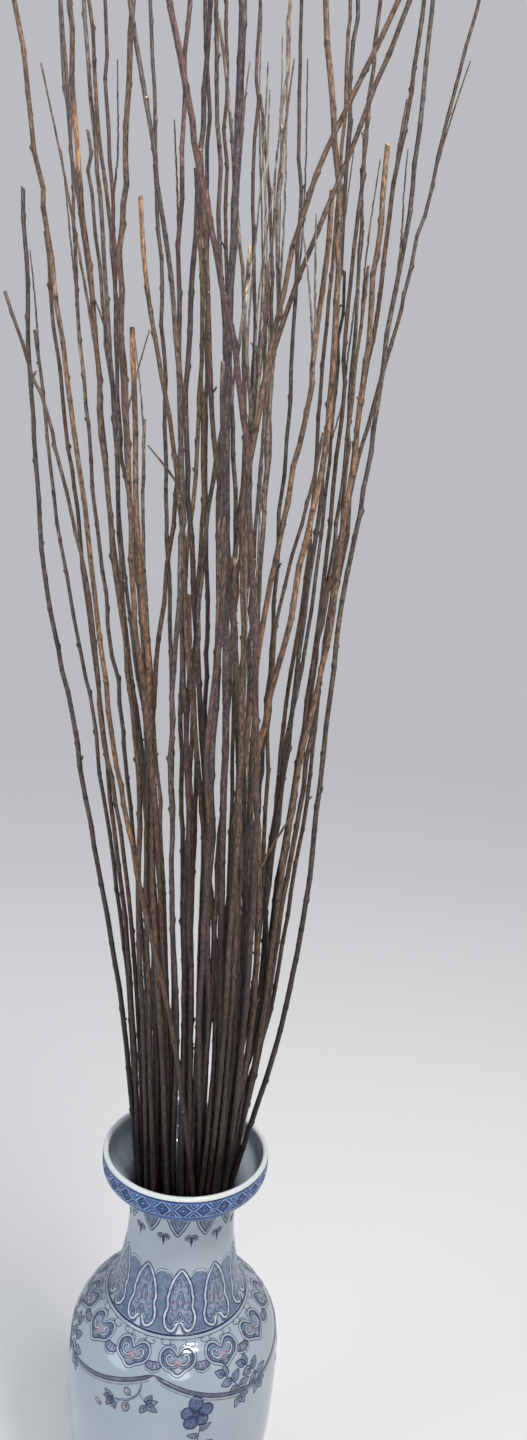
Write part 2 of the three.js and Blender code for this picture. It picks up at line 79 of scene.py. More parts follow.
addCamera(cameraView)
print("camera placed")


# A piece at the origin from vertex places and faces, with its attributes as (name, kind, values)
def addPiece(name, vertices, faces, material, attributes=()):
    mesh = bpy.data.meshes.new(name)
    mesh.from_pydata(vertices.tolist(), [], faces)
    for label, kind, values in attributes:
        layer = mesh.attributes.new(label, kind, "POINT")
        key = "vector" if kind == "FLOAT_VECTOR" else "color"
        layer.data.foreach_set(key, np.ascontiguousarray(values, dtype=np.float32).ravel())
    mesh.shade_smooth()
    mesh.materials.append(material)
    piece = bpy.data.objects.new(name, mesh)
    bpy.context.scene.collection.objects.link(piece)
    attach(piece, "root")
    return piece


def unit(vectors):
    return vectors / np.linalg.norm(vectors, axis=-1, keepdims=True)


# Quads between the rows of a grid of corners, whose last column joins its first. They face outwards where the
# columns turn left about the way of the rows.
def gridFaces(rows, columns):
    i, j = np.meshgrid(np.arange(rows - 1), np.arange(columns), indexing="ij")
    after, row, above = (j + 1) % columns, i * columns, (i + 1) * columns
    return np.stack([row + j, row + after, above + after, above + j], -1).reshape(-1, 4)


# A new material with its tree and its shader. The helpers after it add nodes to such a tree, and each gives
# an output socket.
def newMaterial(name):
    material = bpy.data.materials.new(name)
    material.use_nodes = True
    return material, material.node_tree, material.node_tree.nodes["Principled BSDF"]


def attributeOf(tree, name, output):
    node = tree.nodes.new("ShaderNodeAttribute")
    node.attribute_name = name
    return node.outputs[output]


def objectPlace(tree):
    return tree.nodes.new("ShaderNodeTexCoord").outputs["Object"]


def objectHeight(tree):
    node = tree.nodes.new("ShaderNodeSeparateXYZ")
    tree.links.new(objectPlace(tree), node.inputs["Vector"])
    return node.outputs["Z"]


def noiseOf(tree, place, scale, detail, roughness=0.5):
    node = tree.nodes.new("ShaderNodeTexNoise")
    tree.links.new(place, node.inputs["Vector"])
    for socket, number in (("Scale", scale), ("Detail", detail), ("Roughness", roughness)):
        node.inputs[socket].default_value = number
    return node.outputs["Fac"]


# The value moved from one range to another and kept inside it
def remap(tree, value, low, high, toLow=0.0, toHigh=1.0, interpolation="LINEAR"):
    node = tree.nodes.new("ShaderNodeMapRange")
    node.interpolation_type = interpolation
    tree.links.new(value, node.inputs["Value"])
    for socket, number in zip(("From Min", "From Max", "To Min", "To Max"), (low, high, toLow, toHigh)):
        node.inputs[socket].default_value = number
    return node.outputs["Result"]


# Mix of two colours, each a socket or red, green and blue
def mixColour(tree, factor, first, second):
    node = tree.nodes.new("ShaderNodeMix")
    node.data_type = "RGBA"
    tree.links.new(factor, node.inputs[0])
    for socket, colour in ((node.inputs[6], first), (node.inputs[7], second)):
        if isinstance(colour, bpy.types.NodeSocket):
            tree.links.new(colour, socket)
        else:
            socket.default_value = (*colour, 1)
    return node.outputs[2]


def scaled(tree, colour, factor):
    node = tree.nodes.new("ShaderNodeVectorMath")
    node.operation = "SCALE"
    tree.links.new(colour, node.inputs[0])
    tree.links.new(factor, node.inputs["Scale"])
    return node.outputs["Vector"]


def bumpOf(tree, height, strength, distance):
    node = tree.nodes.new("ShaderNodeBump")
    node.inputs["Strength"].default_value = strength
    node.inputs["Distance"].default_value = distance
    tree.links.new(height, node.inputs["Height"])
    return node.outputs["Normal"]


# Bark
barkFinish = {
    "bark_tan": {"roughness": 0.44, "film": 0.50, "filmColour": (0.135, 0.100, 0.080), "specular": 0.42},
    "bark_red": {"roughness": 0.46, "film": 0.55, "filmColour": (0.090, 0.068, 0.066), "specular": 0.46},
    "bark_grey": {"roughness": 0.52, "film": 0.60, "filmColour": (0.112, 0.090, 0.080), "specular": 0.38},
}
barkPattern = {  # noises: how often in a metre across, across and along the stem, then detail and roughness
    "streaks": ((1500, 1500, 90), 4, 0.6),
    "patches": ((210, 210, 42), 3, 0.6),
    "blotches": ((420, 420, 150), 3, 0.7),
    "specks": ((1300, 1300, 700), 2, 0.6),
}
barkRange = {  # a range of a noise or of the height, and what its two ends give
    "film": (0.42, 0.60, 0.0),  # cover of the grey film, up to the finish's own
    "warmth": (0.30, 0.42, 1.75, 1.0),  # brightness of the warm spots
    "warmCover": (0.32, 0.42, 0.75, 0.0),
    "streaks": (0.30, 0.70, 0.42, 1.58),  # brightness, as are blotches and height
    "blotches": (0.36, 0.66, 0.30, 1.62),
    "height": (0.62, 1.25, 0.14, 1.0),  # painted shade: stems are darker low down, towards the vase's mouth
    "paleFlecks": (0.64, 0.70, 0.0, 0.55),
    "darkFlecks": (0.37, 0.31, 0.0, 0.80),
    "dull": (0.35, 0.65),
}
barkLook = {
    "paleFleck": (0.42, 0.34, 0.26),
    "darkFleck": (0.020, 0.014, 0.012),
    "gloss": (-0.10, 0.16),  # roughness of the shiniest and dullest patches, from the finish's own
    "bump": (0.6, 0.0007),  # strength and depth of the streaks
}


# Bark in the straightened stem's own coordinates: long streaks, a patchy grey film, warm spots and flecks,
# and painted shade low down towards the vase's mouth
def makeBark(name, finish):
    material, tree, shader = newMaterial(name)
    grain, tone = attributeOf(tree, "grain", "Vector"), attributeOf(tree, "barkTone", "Color")

    def patternOf(scale, detail, roughness):
        mapping = tree.nodes.new("ShaderNodeMapping")
        mapping.inputs["Scale"].default_value = scale
        tree.links.new(grain, mapping.inputs["Vector"])
        return noiseOf(tree, mapping.outputs["Vector"], 1.0, detail, roughness)

    def ranged(value, key, *more):
        return remap(tree, value, *barkRange[key], *more)

    streaks, patches, blotches, specks = (patternOf(*pattern) for pattern in barkPattern.values())
    colour = mixColour(tree, ranged(patches, "film", finish["film"]), tone, finish["filmColour"])
    warm = scaled(tree, tone, ranged(patches, "warmth"))
    colour = mixColour(tree, ranged(patches, "warmCover"), colour, warm)
    colour = scaled(tree, colour, ranged(streaks, "streaks"))
    colour = scaled(tree, colour, ranged(blotches, "blotches"))
    colour = mixColour(tree, ranged(specks, "paleFlecks"), colour, barkLook["paleFleck"])
    colour = mixColour(tree, ranged(specks, "darkFlecks"), colour, barkLook["darkFleck"])
    # Painted shade: the bark grows darker low down, towards the vase's mouth
    colour = scaled(tree, colour, ranged(objectHeight(tree), "height"))
    tree.links.new(colour, shader.inputs["Base Color"])
    shiny, dull = (finish["roughness"] + change for change in barkLook["gloss"])
    tree.links.new(ranged(patches, "dull", shiny, dull), shader.inputs["Roughness"])
    shader.inputs["Specular IOR Level"].default_value = finish["specular"]
    tree.links.new(bumpOf(tree, streaks, *barkLook["bump"]), shader.inputs["Normal"])
    return material


bark = {name: makeBark(name, finish) for name, finish in barkFinish.items()}
print("bark made")

# Stems
stemShape = {
    "sides": 10,
    "leastRadius": 0.0018,  # of a stem in the frame; what is thinner is a side twig
    "slim": 0.94,  # bare stem over the frame's, which holds its buds too
    "seen": 0.53,  # height in the vase's neck above which the bark has its buds and knots
    "hiddenRings": 12,  # below that height
    "nodeGap": (0.014, 0.046),  # between a stem's nodes
    "nodesDrawn": 110,  # more than the longest stem has
    "topClear": 0.012,  # between the last node and the top
    "leastStep": 2e-4,  # between two rings
    "fade": (0.62, 0.5),  # height from which the zigzag and the wander grow, and over how much height
    "zigzag": 0.0009,  # sideways step of a stem at its nodes
    "wander": 0.0017,  # slow bends between the heights that the frame gives
    "bends": (0.7, 0.11, 0.05),  # height of the first slow bend, way to the next, and the last over the top
    "oval": 0.04,
    "uneven": 0.025,  # spread of each corner's radius
    "knot": 0.34,  # swelling at a node, as a share of the radius
    "bud": (0.0008, 0.0022),  # how far a bud stands out
    "budShare": 0.6,  # of the nodes
    "budTurn": (0.8, 0.5),  # half turns from one node's bud to the next one's, and their spread in radians
    "nodeStrength": (0.25, 1.0),
    "cutSlope": (0.15, 0.9),  # slope of the cut at a stem's top
    "stubs": (1, 4),  # short broken side twigs: the fewest on a stem, and one more than the most
    "stubsFrom": 0.66,
    "stubReach": (0.003, 0.0065),
    "stubRise": (0.004, 0.010),
    "stubGirth": 0.0021,
}
nodeBells = {  # along the stem: middle over the node and width; about it: width in radians
    "knot": (-0.0006, 0.0024, 1.0),
    "bud": (0.0026, 0.0019, 0.45),
    "scar": (0.0, 0.0022, 1.1),
}
knotShares = (0.25, 0.75)  # what a node's whole ring has of the swelling, and what the bud's side has more
scarShares = (0.1725, 1.265)  # the same for the dark scar
rodEnd = {"rim": 0.93, "rimRise": 0.05, "middleRise": 0.04}  # shares of the radius at the cut end of a rod
grainShift = (0.37, 0.61, 1.7)  # from one stem's bark to the next one's
nodeRings = np.array([-4.6, -2.2, -0.6, 0.9, 2.4, 4.0, 6.2]) * 1e-3  # rings about a node
barkColours = {  # linear light
    "tan": (0.230, 0.136, 0.078),
    "orange": (0.330, 0.195, 0.112),
    "brown": (0.150, 0.088, 0.056),
    "olive": (0.170, 0.128, 0.062),
    "red": (0.128, 0.062, 0.052),
    "plum": (0.112, 0.072, 0.074),
    "grey": (0.125, 0.098, 0.083),
    "pale": (0.260, 0.210, 0.168),
    "dark": (0.050, 0.033, 0.028),
    "wood": (0.60, 0.42, 0.25),
    "torn": (0.40, 0.20, 0.09),
}
slotTones = {"bark_tan": ("tan", "brown"), "bark_red": ("red", "plum"), "bark_grey": ("grey", "brown")}
ownTones = {
    "stem_01": "orange", "stem_06": "brown", "stem_10": "brown", "stem_11": "tan", "stem_12": "tan",
    "stem_13": "pale", "stem_15": "red", "stem_19": "plum", "stem_20": "pale", "stem_21": "brown",
    "stem_22": "olive", "stem_23": "orange", "stem_24": "brown", "stem_25": "brown", "stem_26": "tan",
    "stem_27": "orange", "stem_32": "pale", "stem_35": "pale", "stem_36": "pale", "stem_44": "olive",
}
# Where a stem's bark is torn or peeled, from one height to another, and the colour that shows
peeled = {
    "stem_06": [(1.675, 1.735, "torn")],
    "stem_11": [(1.500, 1.540, "torn")],
    "stem_12": [(1.585, 1.670, "torn")],
    "stem_27": [(1.640, 1.800, "tan")],
    "stem_32": [(1.578, 1.600, "wood"), (1.608, 1.650, "wood")],
    "stem_42": [(1.500, 1.560, "tan")],
    "stem_43": [(1.378, 1.400, "wood")],
    "stem_25": [(1.328, 1.336, "wood")],
}
# Side twigs in metres: height, reach sideways, back and up, diameter. The first of some stems is the frame's.
twigs = {
    "stem_04": [(1.512, (-0.013, 0.005, 0.109), 0.0020)],
    "stem_06": [(1.490, (-0.062, -0.015, 0.275), 0.0026)],
    "stem_07": [(1.704, (-0.008, -0.008, 0.111), 0.0018)],
    "stem_08": [(1.570, (-0.006, -0.005, 0.049), 0.0018)],
    "stem_09": [(1.546, (-0.011, -0.005, 0.029), 0.0020)],
    "stem_10": [(1.458, (0.018, 0.006, 0.086), 0.0018)],
    "stem_12": [(1.398, (-0.032, -0.006, 0.038), 0.0024), (1.560, (-0.012, 0.004, 0.060), 0.0018)],
    "stem_13": [(1.440, (-0.015, -0.008, 0.107), 0.0018)],
    "stem_16": [(1.628, (-0.010, 0.008, 0.106), 0.0020)],
    "stem_21": [(1.636, (-0.008, -0.005, 0.051), 0.0020)],
    "stem_22": [(1.552, (-0.016, -0.010, 0.147), 0.0024)],
    "stem_23": [(0.985, (0.030, -0.016, 0.074), 0.0028)],
    "stem_24": [(1.450, (-0.008, -0.020, 0.293), 0.0022)],
    "stem_25": [(1.468, (0.014, 0.030, 0.320), 0.0022), (1.552, (-0.006, -0.006, 0.052), 0.0022)],
    "stem_26": [(1.500, (-0.0103, -0.034, 0.150), 0.0024), (1.522, (-0.024, -0.020, 0.133), 0.0020)],
    "stem_28": [(1.592, (0.011, 0.020, 0.188), 0.0024)],
    "stem_30": [(1.566, (-0.003, -0.020, 0.198), 0.0020)],
    "stem_31": [(1.476, (0.007, 0.010, 0.194), 0.0022)],
    "stem_33": [(1.468, (-0.001, 0.030, 0.354), 0.0022)],
    "stem_34": [(1.490, (0.003, 0.020, 0.366), 0.0020), (1.562, (0.013, 0.040, 0.265), 0.0020)],
    "stem_35": [(1.560, (-0.012, -0.010, 0.286), 0.0022)],
    "stem_36": [(1.238, (-0.001, 0.010, 0.320), 0.0022)],
    "stem_37": [(1.458, (-0.033, -0.010, 0.309), 0.0020)],
    "stem_38": [(1.592, (-0.002, -0.015, 0.132), 0.0020)],
    "stem_40": [(1.672, (0.005, 0.010, 0.126), 0.0018)],
    "stem_44": [(1.552, (-0.003, 0.006, 0.132), 0.0018)],
    "stem_45": [(1.448, (-0.007, 0.010, 0.296), 0.0018)],
    "stem_46": [(1.470, (-0.001, 0.020, 0.234), 0.0018)],
    "stem_47": [(1.538, (-0.002, 0.010, 0.212), 0.0020)],
    "stem_49": [(1.568, (0.006, 0.015, 0.168), 0.0020)],
    "stem_50": [(1.580, (-0.023, 0.010, 0.150), 0.0020)],
    "stem_51": [(1.690, (-0.002, 0.010, 0.141), 0.0020)],
    "stem_55": [(1.490, (-0.017, -0.020, 0.388), 0.0020)],
    "stem_56": [(1.598, (-0.006, 0.010, 0.239), 0.0020)],
    "stem_57": [(1.330, (0.030, 0.040, 0.190), 0.0024)],
    "stem_58": [(1.712, (0.031, 0.010, 0.142), 0.0020)],
}
paleTwigs = ("stem_13", "stem_24", "stem_26", "stem_33", "stem_34", "stem_35", "stem_36", "stem_37",
             "stem_55")


# Centres and radius of a stem's level rings in the frame: six or seven corners at one height are a ring
def stemPath(name):
    data = frame["nodes"][name].data
    places = np.empty(len(data.vertices) * 3, dtype=np.float32)
    data.vertices.foreach_get("co", places)
    corners = np.unique(np.round(places.reshape(-1, 3).astype(float), 5), axis=0)
    heights, counts = np.unique(np.round(corners[:, 2], 4), return_counts=True)
    level = 6e-5  # a little over the rounding of the heights
    heights = heights[(counts == 6) | (counts == 7)]
    rings = [corners[np.abs(corners[:, 2] - height) < level] for height in heights]
    centres = np.array([ring.mean(axis=0) for ring in rings])
    radii = np.array([np.linalg.norm(ring - centre, axis=1).max() for ring, centre in zip(rings, centres)])
    own = radii > stemShape["leastRadius"]
    return centres[own], radii[own]


# A smooth curve through values given at rising heights, with the mean slope of its neighbours at each
def smoothThrough(heights, values, at):
    slopes = np.gradient(values, heights, axis=0)
    i = np.clip(np.searchsorted(heights, at) - 1, 0, len(heights) - 2)
    span = (heights[i + 1] - heights[i])[:, None]
    t = ((at - heights[i]) / (heights[i + 1] - heights[i]))[:, None]
    return (values[i] * (2 * t ** 3 - 3 * t ** 2 + 1) + values[i + 1] * (3 * t ** 2 - 2 * t ** 3)
            + span * slopes[i] * (t ** 3 - 2 * t ** 2 + t) + span * slopes[i + 1] * (t ** 3 - t ** 2))


# A closed rod: ring i is the circle square to the path at point i, with radii[i, j] at corner j. Its far end
# is cut at the slope, and both ends are closed by a fan. It gives places, quads, triangles, straightened
# places and tones.
def sweepRod(path, radii, tones, seed, endTone, slope):
    rings, sides = radii.shape
    along = unit(np.gradient(path, axis=0))
    side = unit(np.cross(np.cross(along, (1.0, 0.0, 0.0)), along))
    back = np.cross(along, side)
    turn = np.linspace(0, 2 * np.pi, sides, endpoint=False)
    ring = side[:, None] * np.cos(turn)[None, :, None] + back[:, None] * np.sin(turn)[None, :, None]
    body = path[:, None] + ring * radii[:, :, None]
    length = np.r_[0, np.cumsum(np.linalg.norm(np.diff(path, axis=0), axis=1))]
    endRadius = radii[-1].mean()
    body[-1] += along[-1] * (slope * endRadius * np.cos(turn - seed))[:, None]
    rim = path[-1] + (body[-1] - path[-1]) * rodEnd["rim"] + along[-1] * endRadius * rodEnd["rimRise"]
    tip = path[-1] + along[-1] * endRadius * rodEnd["middleRise"]
    places = np.concatenate([body.reshape(-1, 3), rim, [tip, path[0]]])
    upwards = np.repeat(length[:, None], sides, 1)
    straight = np.stack([radii * np.cos(turn), radii * np.sin(turn), upwards], -1)
    rimStraight = straight[-1] * (rodEnd["rim"], rodEnd["rim"], 1)
    straight = np.concatenate([straight.reshape(-1, 3), rimStraight, [[0, 0, length[-1]], [0, 0, 0]]])
    straight += seed * np.array(grainShift)
    tones = np.concatenate([tones.reshape(-1, 3), np.repeat([endTone], sides + 1, 0), tones[0, :1]])
    top, bottom, last = (rings + 1) * sides, (rings + 1) * sides + 1, rings * sides
    j = np.arange(sides)
    after = (j + 1) % sides
    upper, lower = np.stack([0 * j + top, last + j, last + after], 1), np.stack([0 * j + bottom, after, j], 1)
    return places, gridFaces(rings + 1, sides), np.concatenate([upper, lower]), straight, tones


# Nodes up a stem. The radius swells at each, most on its bud's side, and a bud may stand out just above it.
# Each is a bell along the stem times one about it, and a bell is e to the minus square of the distance over
# its width.
def stemNodes(stations, nodes, rng):
    sides, count = stemShape["sides"], len(nodes)
    turn = np.linspace(0, 2 * np.pi, sides, endpoint=False)
    halfTurns, spread = stemShape["budTurn"]
    budTurn = np.arange(count) * math.pi * halfTurns + rng.uniform(0, 2 * np.pi)
    budTurn += rng.normal(0, spread, count)
    strength = rng.uniform(*stemShape["nodeStrength"], count)
    budHeight = rng.uniform(*stemShape["bud"], count) * (rng.random(count) < stemShape["budShare"])
    off = stations[:, None] - nodes[None, :]
    around = np.abs((turn[:, None] - budTurn[None, :] + np.pi) % (2 * np.pi) - np.pi)

    def bells(kind):
        middle, width, aside = nodeBells[kind]
        return np.exp(-((off - middle) / width) ** 2), np.exp(-(around / aside) ** 2)

    def summed(along, about):
        return np.einsum("ij,kj->ik", along, about)

    along, about = bells("knot")
    whole, aside = knotShares
    swell = summed(along * strength, whole + aside * about) * stemShape["knot"]
    along, about = bells("bud")
    buds = summed(along, about * budHeight)
    along, about = bells("scar")
    whole, aside = scarShares
    scars = summed(along * strength, whole + aside * about)
    return swell, buds, np.clip(scars, 0, stemTint["darkest"])


# Heights of a stem's rings: few in the vase, then some about each node and one between two nodes
def stemStations(low, high, nodes):
    hidden = np.linspace(low, stemShape["seen"], stemShape["hiddenRings"])
    between = (nodes[1:] + nodes[:-1]) / 2
    stations = np.unique(np.concatenate([hidden, (nodes[:, None] + nodeRings).ravel(), between, [high]]))
    stations = stations[stations <= high]
    return stations[np.r_[True, np.diff(stations) > stemShape["leastStep"]]]


stemTint = {
    "brightness": (0.46, 0.92),  # over the colours of the table
    "warmed": (1.0, 0.94, 0.94),
    "drift": (0.26, 0.45, 1.6),  # brightness from node to node: spread, least and most
    "warmth": 0.07,  # spread of the slow change to warmer or colder
    "warmer": (1.0, 0.1, -1.0),
    "scarShare": 0.6,  # brightness of the dark colour in scars
    "darkest": 0.95,  # share of it in the deepest scar
    "tear": 0.004,  # a bare place begins and ends over this height
    "peel": (0.65, 0.6),  # how bare it is at the stem's sides, and how much more towards the viewer
    "waver": (0.6, 90),  # its turning to and fro on the way up: radians, and radians in a metre
    "wood": (0.7, 1.0),  # brightness of the cut wood
    "paleTwig": 0.9,
    "ownTwig": 1.1,
}


# Colour of each corner of a stem: its own, drifting from node to node, dark in scars, bare where it is peeled
def stemTones(name, colour, stations, nodes, bends, scars, rng):
    sides = stemShape["sides"]
    turn = np.linspace(0, 2 * np.pi, sides, endpoint=False)
    spread, least, most = stemTint["drift"]
    drift = np.interp(stations, nodes, np.clip(rng.normal(1, spread, len(nodes)), least, most))
    warmth = np.interp(stations, bends, rng.normal(0, stemTint["warmth"], len(bends)))
    tint = 1 + warmth[:, None] * np.array(stemTint["warmer"])
    tones = (colour * tint * drift[:, None])[:, None] * np.ones((1, sides, 1))
    scarColour = np.array(barkColours["dark"]) * stemTint["scarShare"]
    tones = tones * (1 - scars[..., None]) + scarColour * scars[..., None]
    for bottom, top, ink in peeled.get(name, ()):
        bare = np.clip(np.minimum(stations - bottom, top - stations) / stemTint["tear"], 0, 1)[:, None]
        sway, often = stemTint["waver"]
        facing = turn + math.pi / 2 + sway * np.sin(stations[:, None] * often)
        middle, swing = stemTint["peel"]
        bare = bare * np.clip(middle + swing * np.cos(facing), 0, 1)
        tones = tones * (1 - bare[..., None]) + np.array(barkColours[ink]) * bare[..., None]
    return tones


def makeStem(name, number):
    rng = np.random.default_rng(number)
    shape, sides = stemShape, stemShape["sides"]
    centres, ringRadii = stemPath(name)
    low, high = centres[0, 2], centres[-1, 2]
    nodes = shape["seen"] + np.cumsum(rng.uniform(*shape["nodeGap"], shape["nodesDrawn"]))
    nodes = nodes[nodes < high - shape["topClear"]]
    stations = stemStations(low, high, nodes)
    path = smoothThrough(centres[:, 2], centres, stations)
    fadeFrom, fadeOver = shape["fade"]
    fade = np.clip((stations - fadeFrom) / fadeOver, 0, 1)
    knots = np.r_[low, nodes, high]
    steps = rng.normal(0, 1, (len(knots), 2)) * shape["zigzag"]
    firstBend, bendGap, beyond = shape["bends"]
    bends = np.r_[low, np.arange(firstBend, high, bendGap), high + beyond]
    waves = rng.normal(0, 1, (len(bends), 2)) * shape["wander"]
    for axis in (0, 1):
        path[:, axis] += fade * np.interp(stations, knots, steps[:, axis])
        path[:, axis] += fade * smoothThrough(bends, waves[:, axis:axis + 1], stations)[:, 0]
    swell, buds, scars = stemNodes(stations, nodes, rng)
    radius = np.interp(stations, centres[:, 2], ringRadii) * shape["slim"]
    turn = np.linspace(0, 2 * np.pi, sides, endpoint=False)
    oval = 1 + shape["oval"] * np.cos(2 * turn + rng.uniform(0, 2 * np.pi))
    uneven = 1 + shape["uneven"] * rng.standard_normal((len(stations), sides))
    radii = radius[:, None] * (1 + swell) * oval[None] * uneven + buds

    slot = slotOf[name]
    slotTone = slotTones[slot][rng.integers(2)]
    colour = np.array(barkColours[ownTones.get(name, slotTone)])
    colour = colour * rng.uniform(*stemTint["brightness"]) * stemTint["warmed"]
    tones = stemTones(name, colour, stations, nodes, bends, scars, rng)
    wood = np.array(barkColours["wood"]) * rng.uniform(*stemTint["wood"])
    parts = [sweepRod(path, radii, tones, float(number), wood, rng.uniform(*shape["cutSlope"]))]

    growths = list(twigs.get(name, ()))
    for foot in rng.choice(nodes[nodes > shape["stubsFrom"]], rng.integers(*shape["stubs"]), replace=False):
        aim, reach = rng.uniform(0, 2 * np.pi), rng.uniform(*shape["stubReach"])
        way = (reach * math.cos(aim), reach * math.sin(aim), rng.uniform(*shape["stubRise"]))
        growths.append((foot, way, shape["stubGirth"]))
    twigColour = colour * stemTint["ownTwig"]
    if name in paleTwigs:
        twigColour = np.array(barkColours["pale"]) * stemTint["paleTwig"]
    for k, (height, reach, girth) in enumerate(growths):
        foot = np.array([np.interp(height, stations, path[:, axis]) for axis in (0, 1)])
        parts.append(makeTwig(foot, height, np.array(reach), girth, twigColour, number + 0.2 * (k + 1), rng))

    faces, count = [], 0
    for places, quads, fans, _, _ in parts:
        faces += (quads + count).tolist() + (fans + count).tolist()
        count += len(places)
    allPlaces, grain, tones = (np.concatenate([part[k] for part in parts]) for k in (0, 3, 4))
    opaque = np.c_[tones, np.ones(len(tones))]
    attributes = [("grain", "FLOAT_VECTOR", grain), ("barkTone", "FLOAT_COLOR", opaque)]
    piece = addPiece(name + "_bark", allPlaces, faces, bark[slot], attributes)
    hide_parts(name)


twigShape = {
    "stubLength": 0.02,  # what is shorter is a stub
    "stub": {"rings": 8, "sides": 6, "taper": 0.15},
    "twig": {"rings": 46, "sides": 7, "taper": 0.45},
    "outwards": 1.15,  # that power
    "bends": (0.012, 0.006),  # spread of the single and the double bend, over the length
    "shiver": 0.00025,
    "knots": 30,  # more than the longest twig has
    "knotGap": (0.016, 0.036),
    "knotWidth": 0.0030,
    "knot": 0.24,
    "knotStrength": (0.2, 1.3),
    "radiusShare": 0.6,  # of the diameter given; over a half, because the twig tapers
    "uneven": 0.03,
    "knotDark": 0.55,
    "brightness": (0.9, 1.15),
    "cutSlope": 0.5,
    "wood": 0.8,
}


# A side twig from a foot inside the stem. It goes outwards as its share of the way to a power, bends slowly
# at right angles to that, and has small knots.
def makeTwig(foot, height, reach, girth, colour, seed, rng):
    shape = twigShape
    length = np.linalg.norm(reach)
    own = shape["stub"] if length < shape["stubLength"] else shape["twig"]
    count, sides = own["rings"], own["sides"]
    share = np.linspace(0, 1, count)
    twig = np.c_[foot + np.outer(share ** shape["outwards"], reach[:2]), height + reach[2] * share]
    single, double = (rng.normal(0, spread) for spread in shape["bends"])
    bend = np.sin(np.pi * share) * single * length + np.sin(2 * np.pi * share) * double * length
    twig[:, :2] += np.outer(bend, (-reach[1], reach[0]) / np.hypot(*reach[:2]))
    twig[:, 0] += rng.normal(0, shape["shiver"], count) * np.sin(share * np.pi)
    knots = np.cumsum(rng.uniform(*shape["knotGap"], shape["knots"])) / length
    marks = np.exp(-((share[:, None] - knots[None]) * length / shape["knotWidth"]) ** 2)
    swell = (marks * rng.uniform(*shape["knotStrength"], shape["knots"])).sum(axis=1)
    radius = girth * shape["radiusShare"] * (1 - own["taper"] * share) * (1 + shape["knot"] * swell)
    radii = np.repeat(radius[:, None], sides, 1) * (1 + shape["uneven"] * rng.standard_normal((count, sides)))
    dark = shape["knotDark"] * np.clip(marks.sum(axis=1), 0, 1)
    tones = colour[None] * (1 - dark)[:, None] * rng.uniform(*shape["brightness"])
    tones = np.repeat(tones[:, None], sides, 1)
    wood = np.array(barkColours["wood"]) * shape["wood"]
    return sweepRod(twig, radii, tones, seed, wood, shape["cutSlope"])


for number, name in enumerate(stemNames, start=1):
    makeStem(name, number)
print("stems made")

# Vase body
vaseShape = {
    "height": 0.610,
    "lipRadius": 0.100,
    "wall": 0.0065,
    "floor": 0.014,
    "footRadius": 0.091,
    "footRing": 0.009,
    "recess": 0.004,
    "around": 240,
    "profileRows": 172,
    "lipRows": 13,
    "paintedLip": 5,  # rows of the lip that count as the outside
    "innerEnd": 0.012,  # the turned inside ends this far over the floor
    "floorEdge": 0.006,  # from the foot ring's inner side to the edge of the floor
    "floorCorner": [(0.0035, 0.0045), (0.0, 0.001), (-0.006, 0.0)],  # from that edge
    "footCorner": [(-0.0012, 0.0), (-0.0003, 0.0003)],  # from the foot's outer edge
    "recessCorner": [(-0.002, 0.004), (-0.0004, 0.0008), (0.0008, 0.0)],  # from the foot ring's inner edge
}
vaseOutline = np.array([
    (91, 0), (88, 18), (94, 48), (112, 120), (126, 200), (131.5, 285), (130, 350), (122, 377), (105, 398),
    (91.5, 407.5), (83, 417.5), (77.6, 430), (73.6, 445), (67.5, 480), (64.6, 515), (66, 550), (74, 565),
    (90, 573), (98.5, 584), (100.3, 597),
]) * 1e-3


# A curve through the points whose slope at each is half the step between its neighbours
def smoothRun(points, count):
    last = len(points) - 1
    place = np.linspace(0, last, count)
    i = np.minimum(place.astype(int), last - 1)
    t = (place - i)[:, None]
    start, end = points[i], points[i + 1]
    slopeA, slopeB = (end - points[np.maximum(i - 1, 0)]) / 2, (points[np.minimum(i + 2, last)] - start) / 2
    return ((2 * start - 2 * end + slopeA + slopeB) * t ** 3
            + (3 * end - 3 * start - 2 * slopeA - slopeB) * t ** 2 + slopeA * t + start)


# Half circle over the lip, from its outer to its inner side
def lipArc(shape):
    radius = shape["wall"] / 2
    turn = np.linspace(0, np.pi, shape["lipRows"])
    middle = (shape["lipRadius"] - radius, shape["height"] - radius)
    return middle + radius * np.c_[np.cos(turn), np.sin(turn)]


def runNormals(run):
    along = unit(np.gradient(run, axis=0))
    return np.c_[along[:, 1], -along[:, 0]]


wallRun = smoothRun(vaseOutline, vaseShape["profileRows"])
outsideRun = np.concatenate([wallRun, lipArc(vaseShape)[:vaseShape["paintedLip"]]])
outsideArc = np.r_[0, np.cumsum(np.linalg.norm(np.diff(outsideRun, axis=0), axis=1))]
outsideNormals = runNormals(outsideRun)


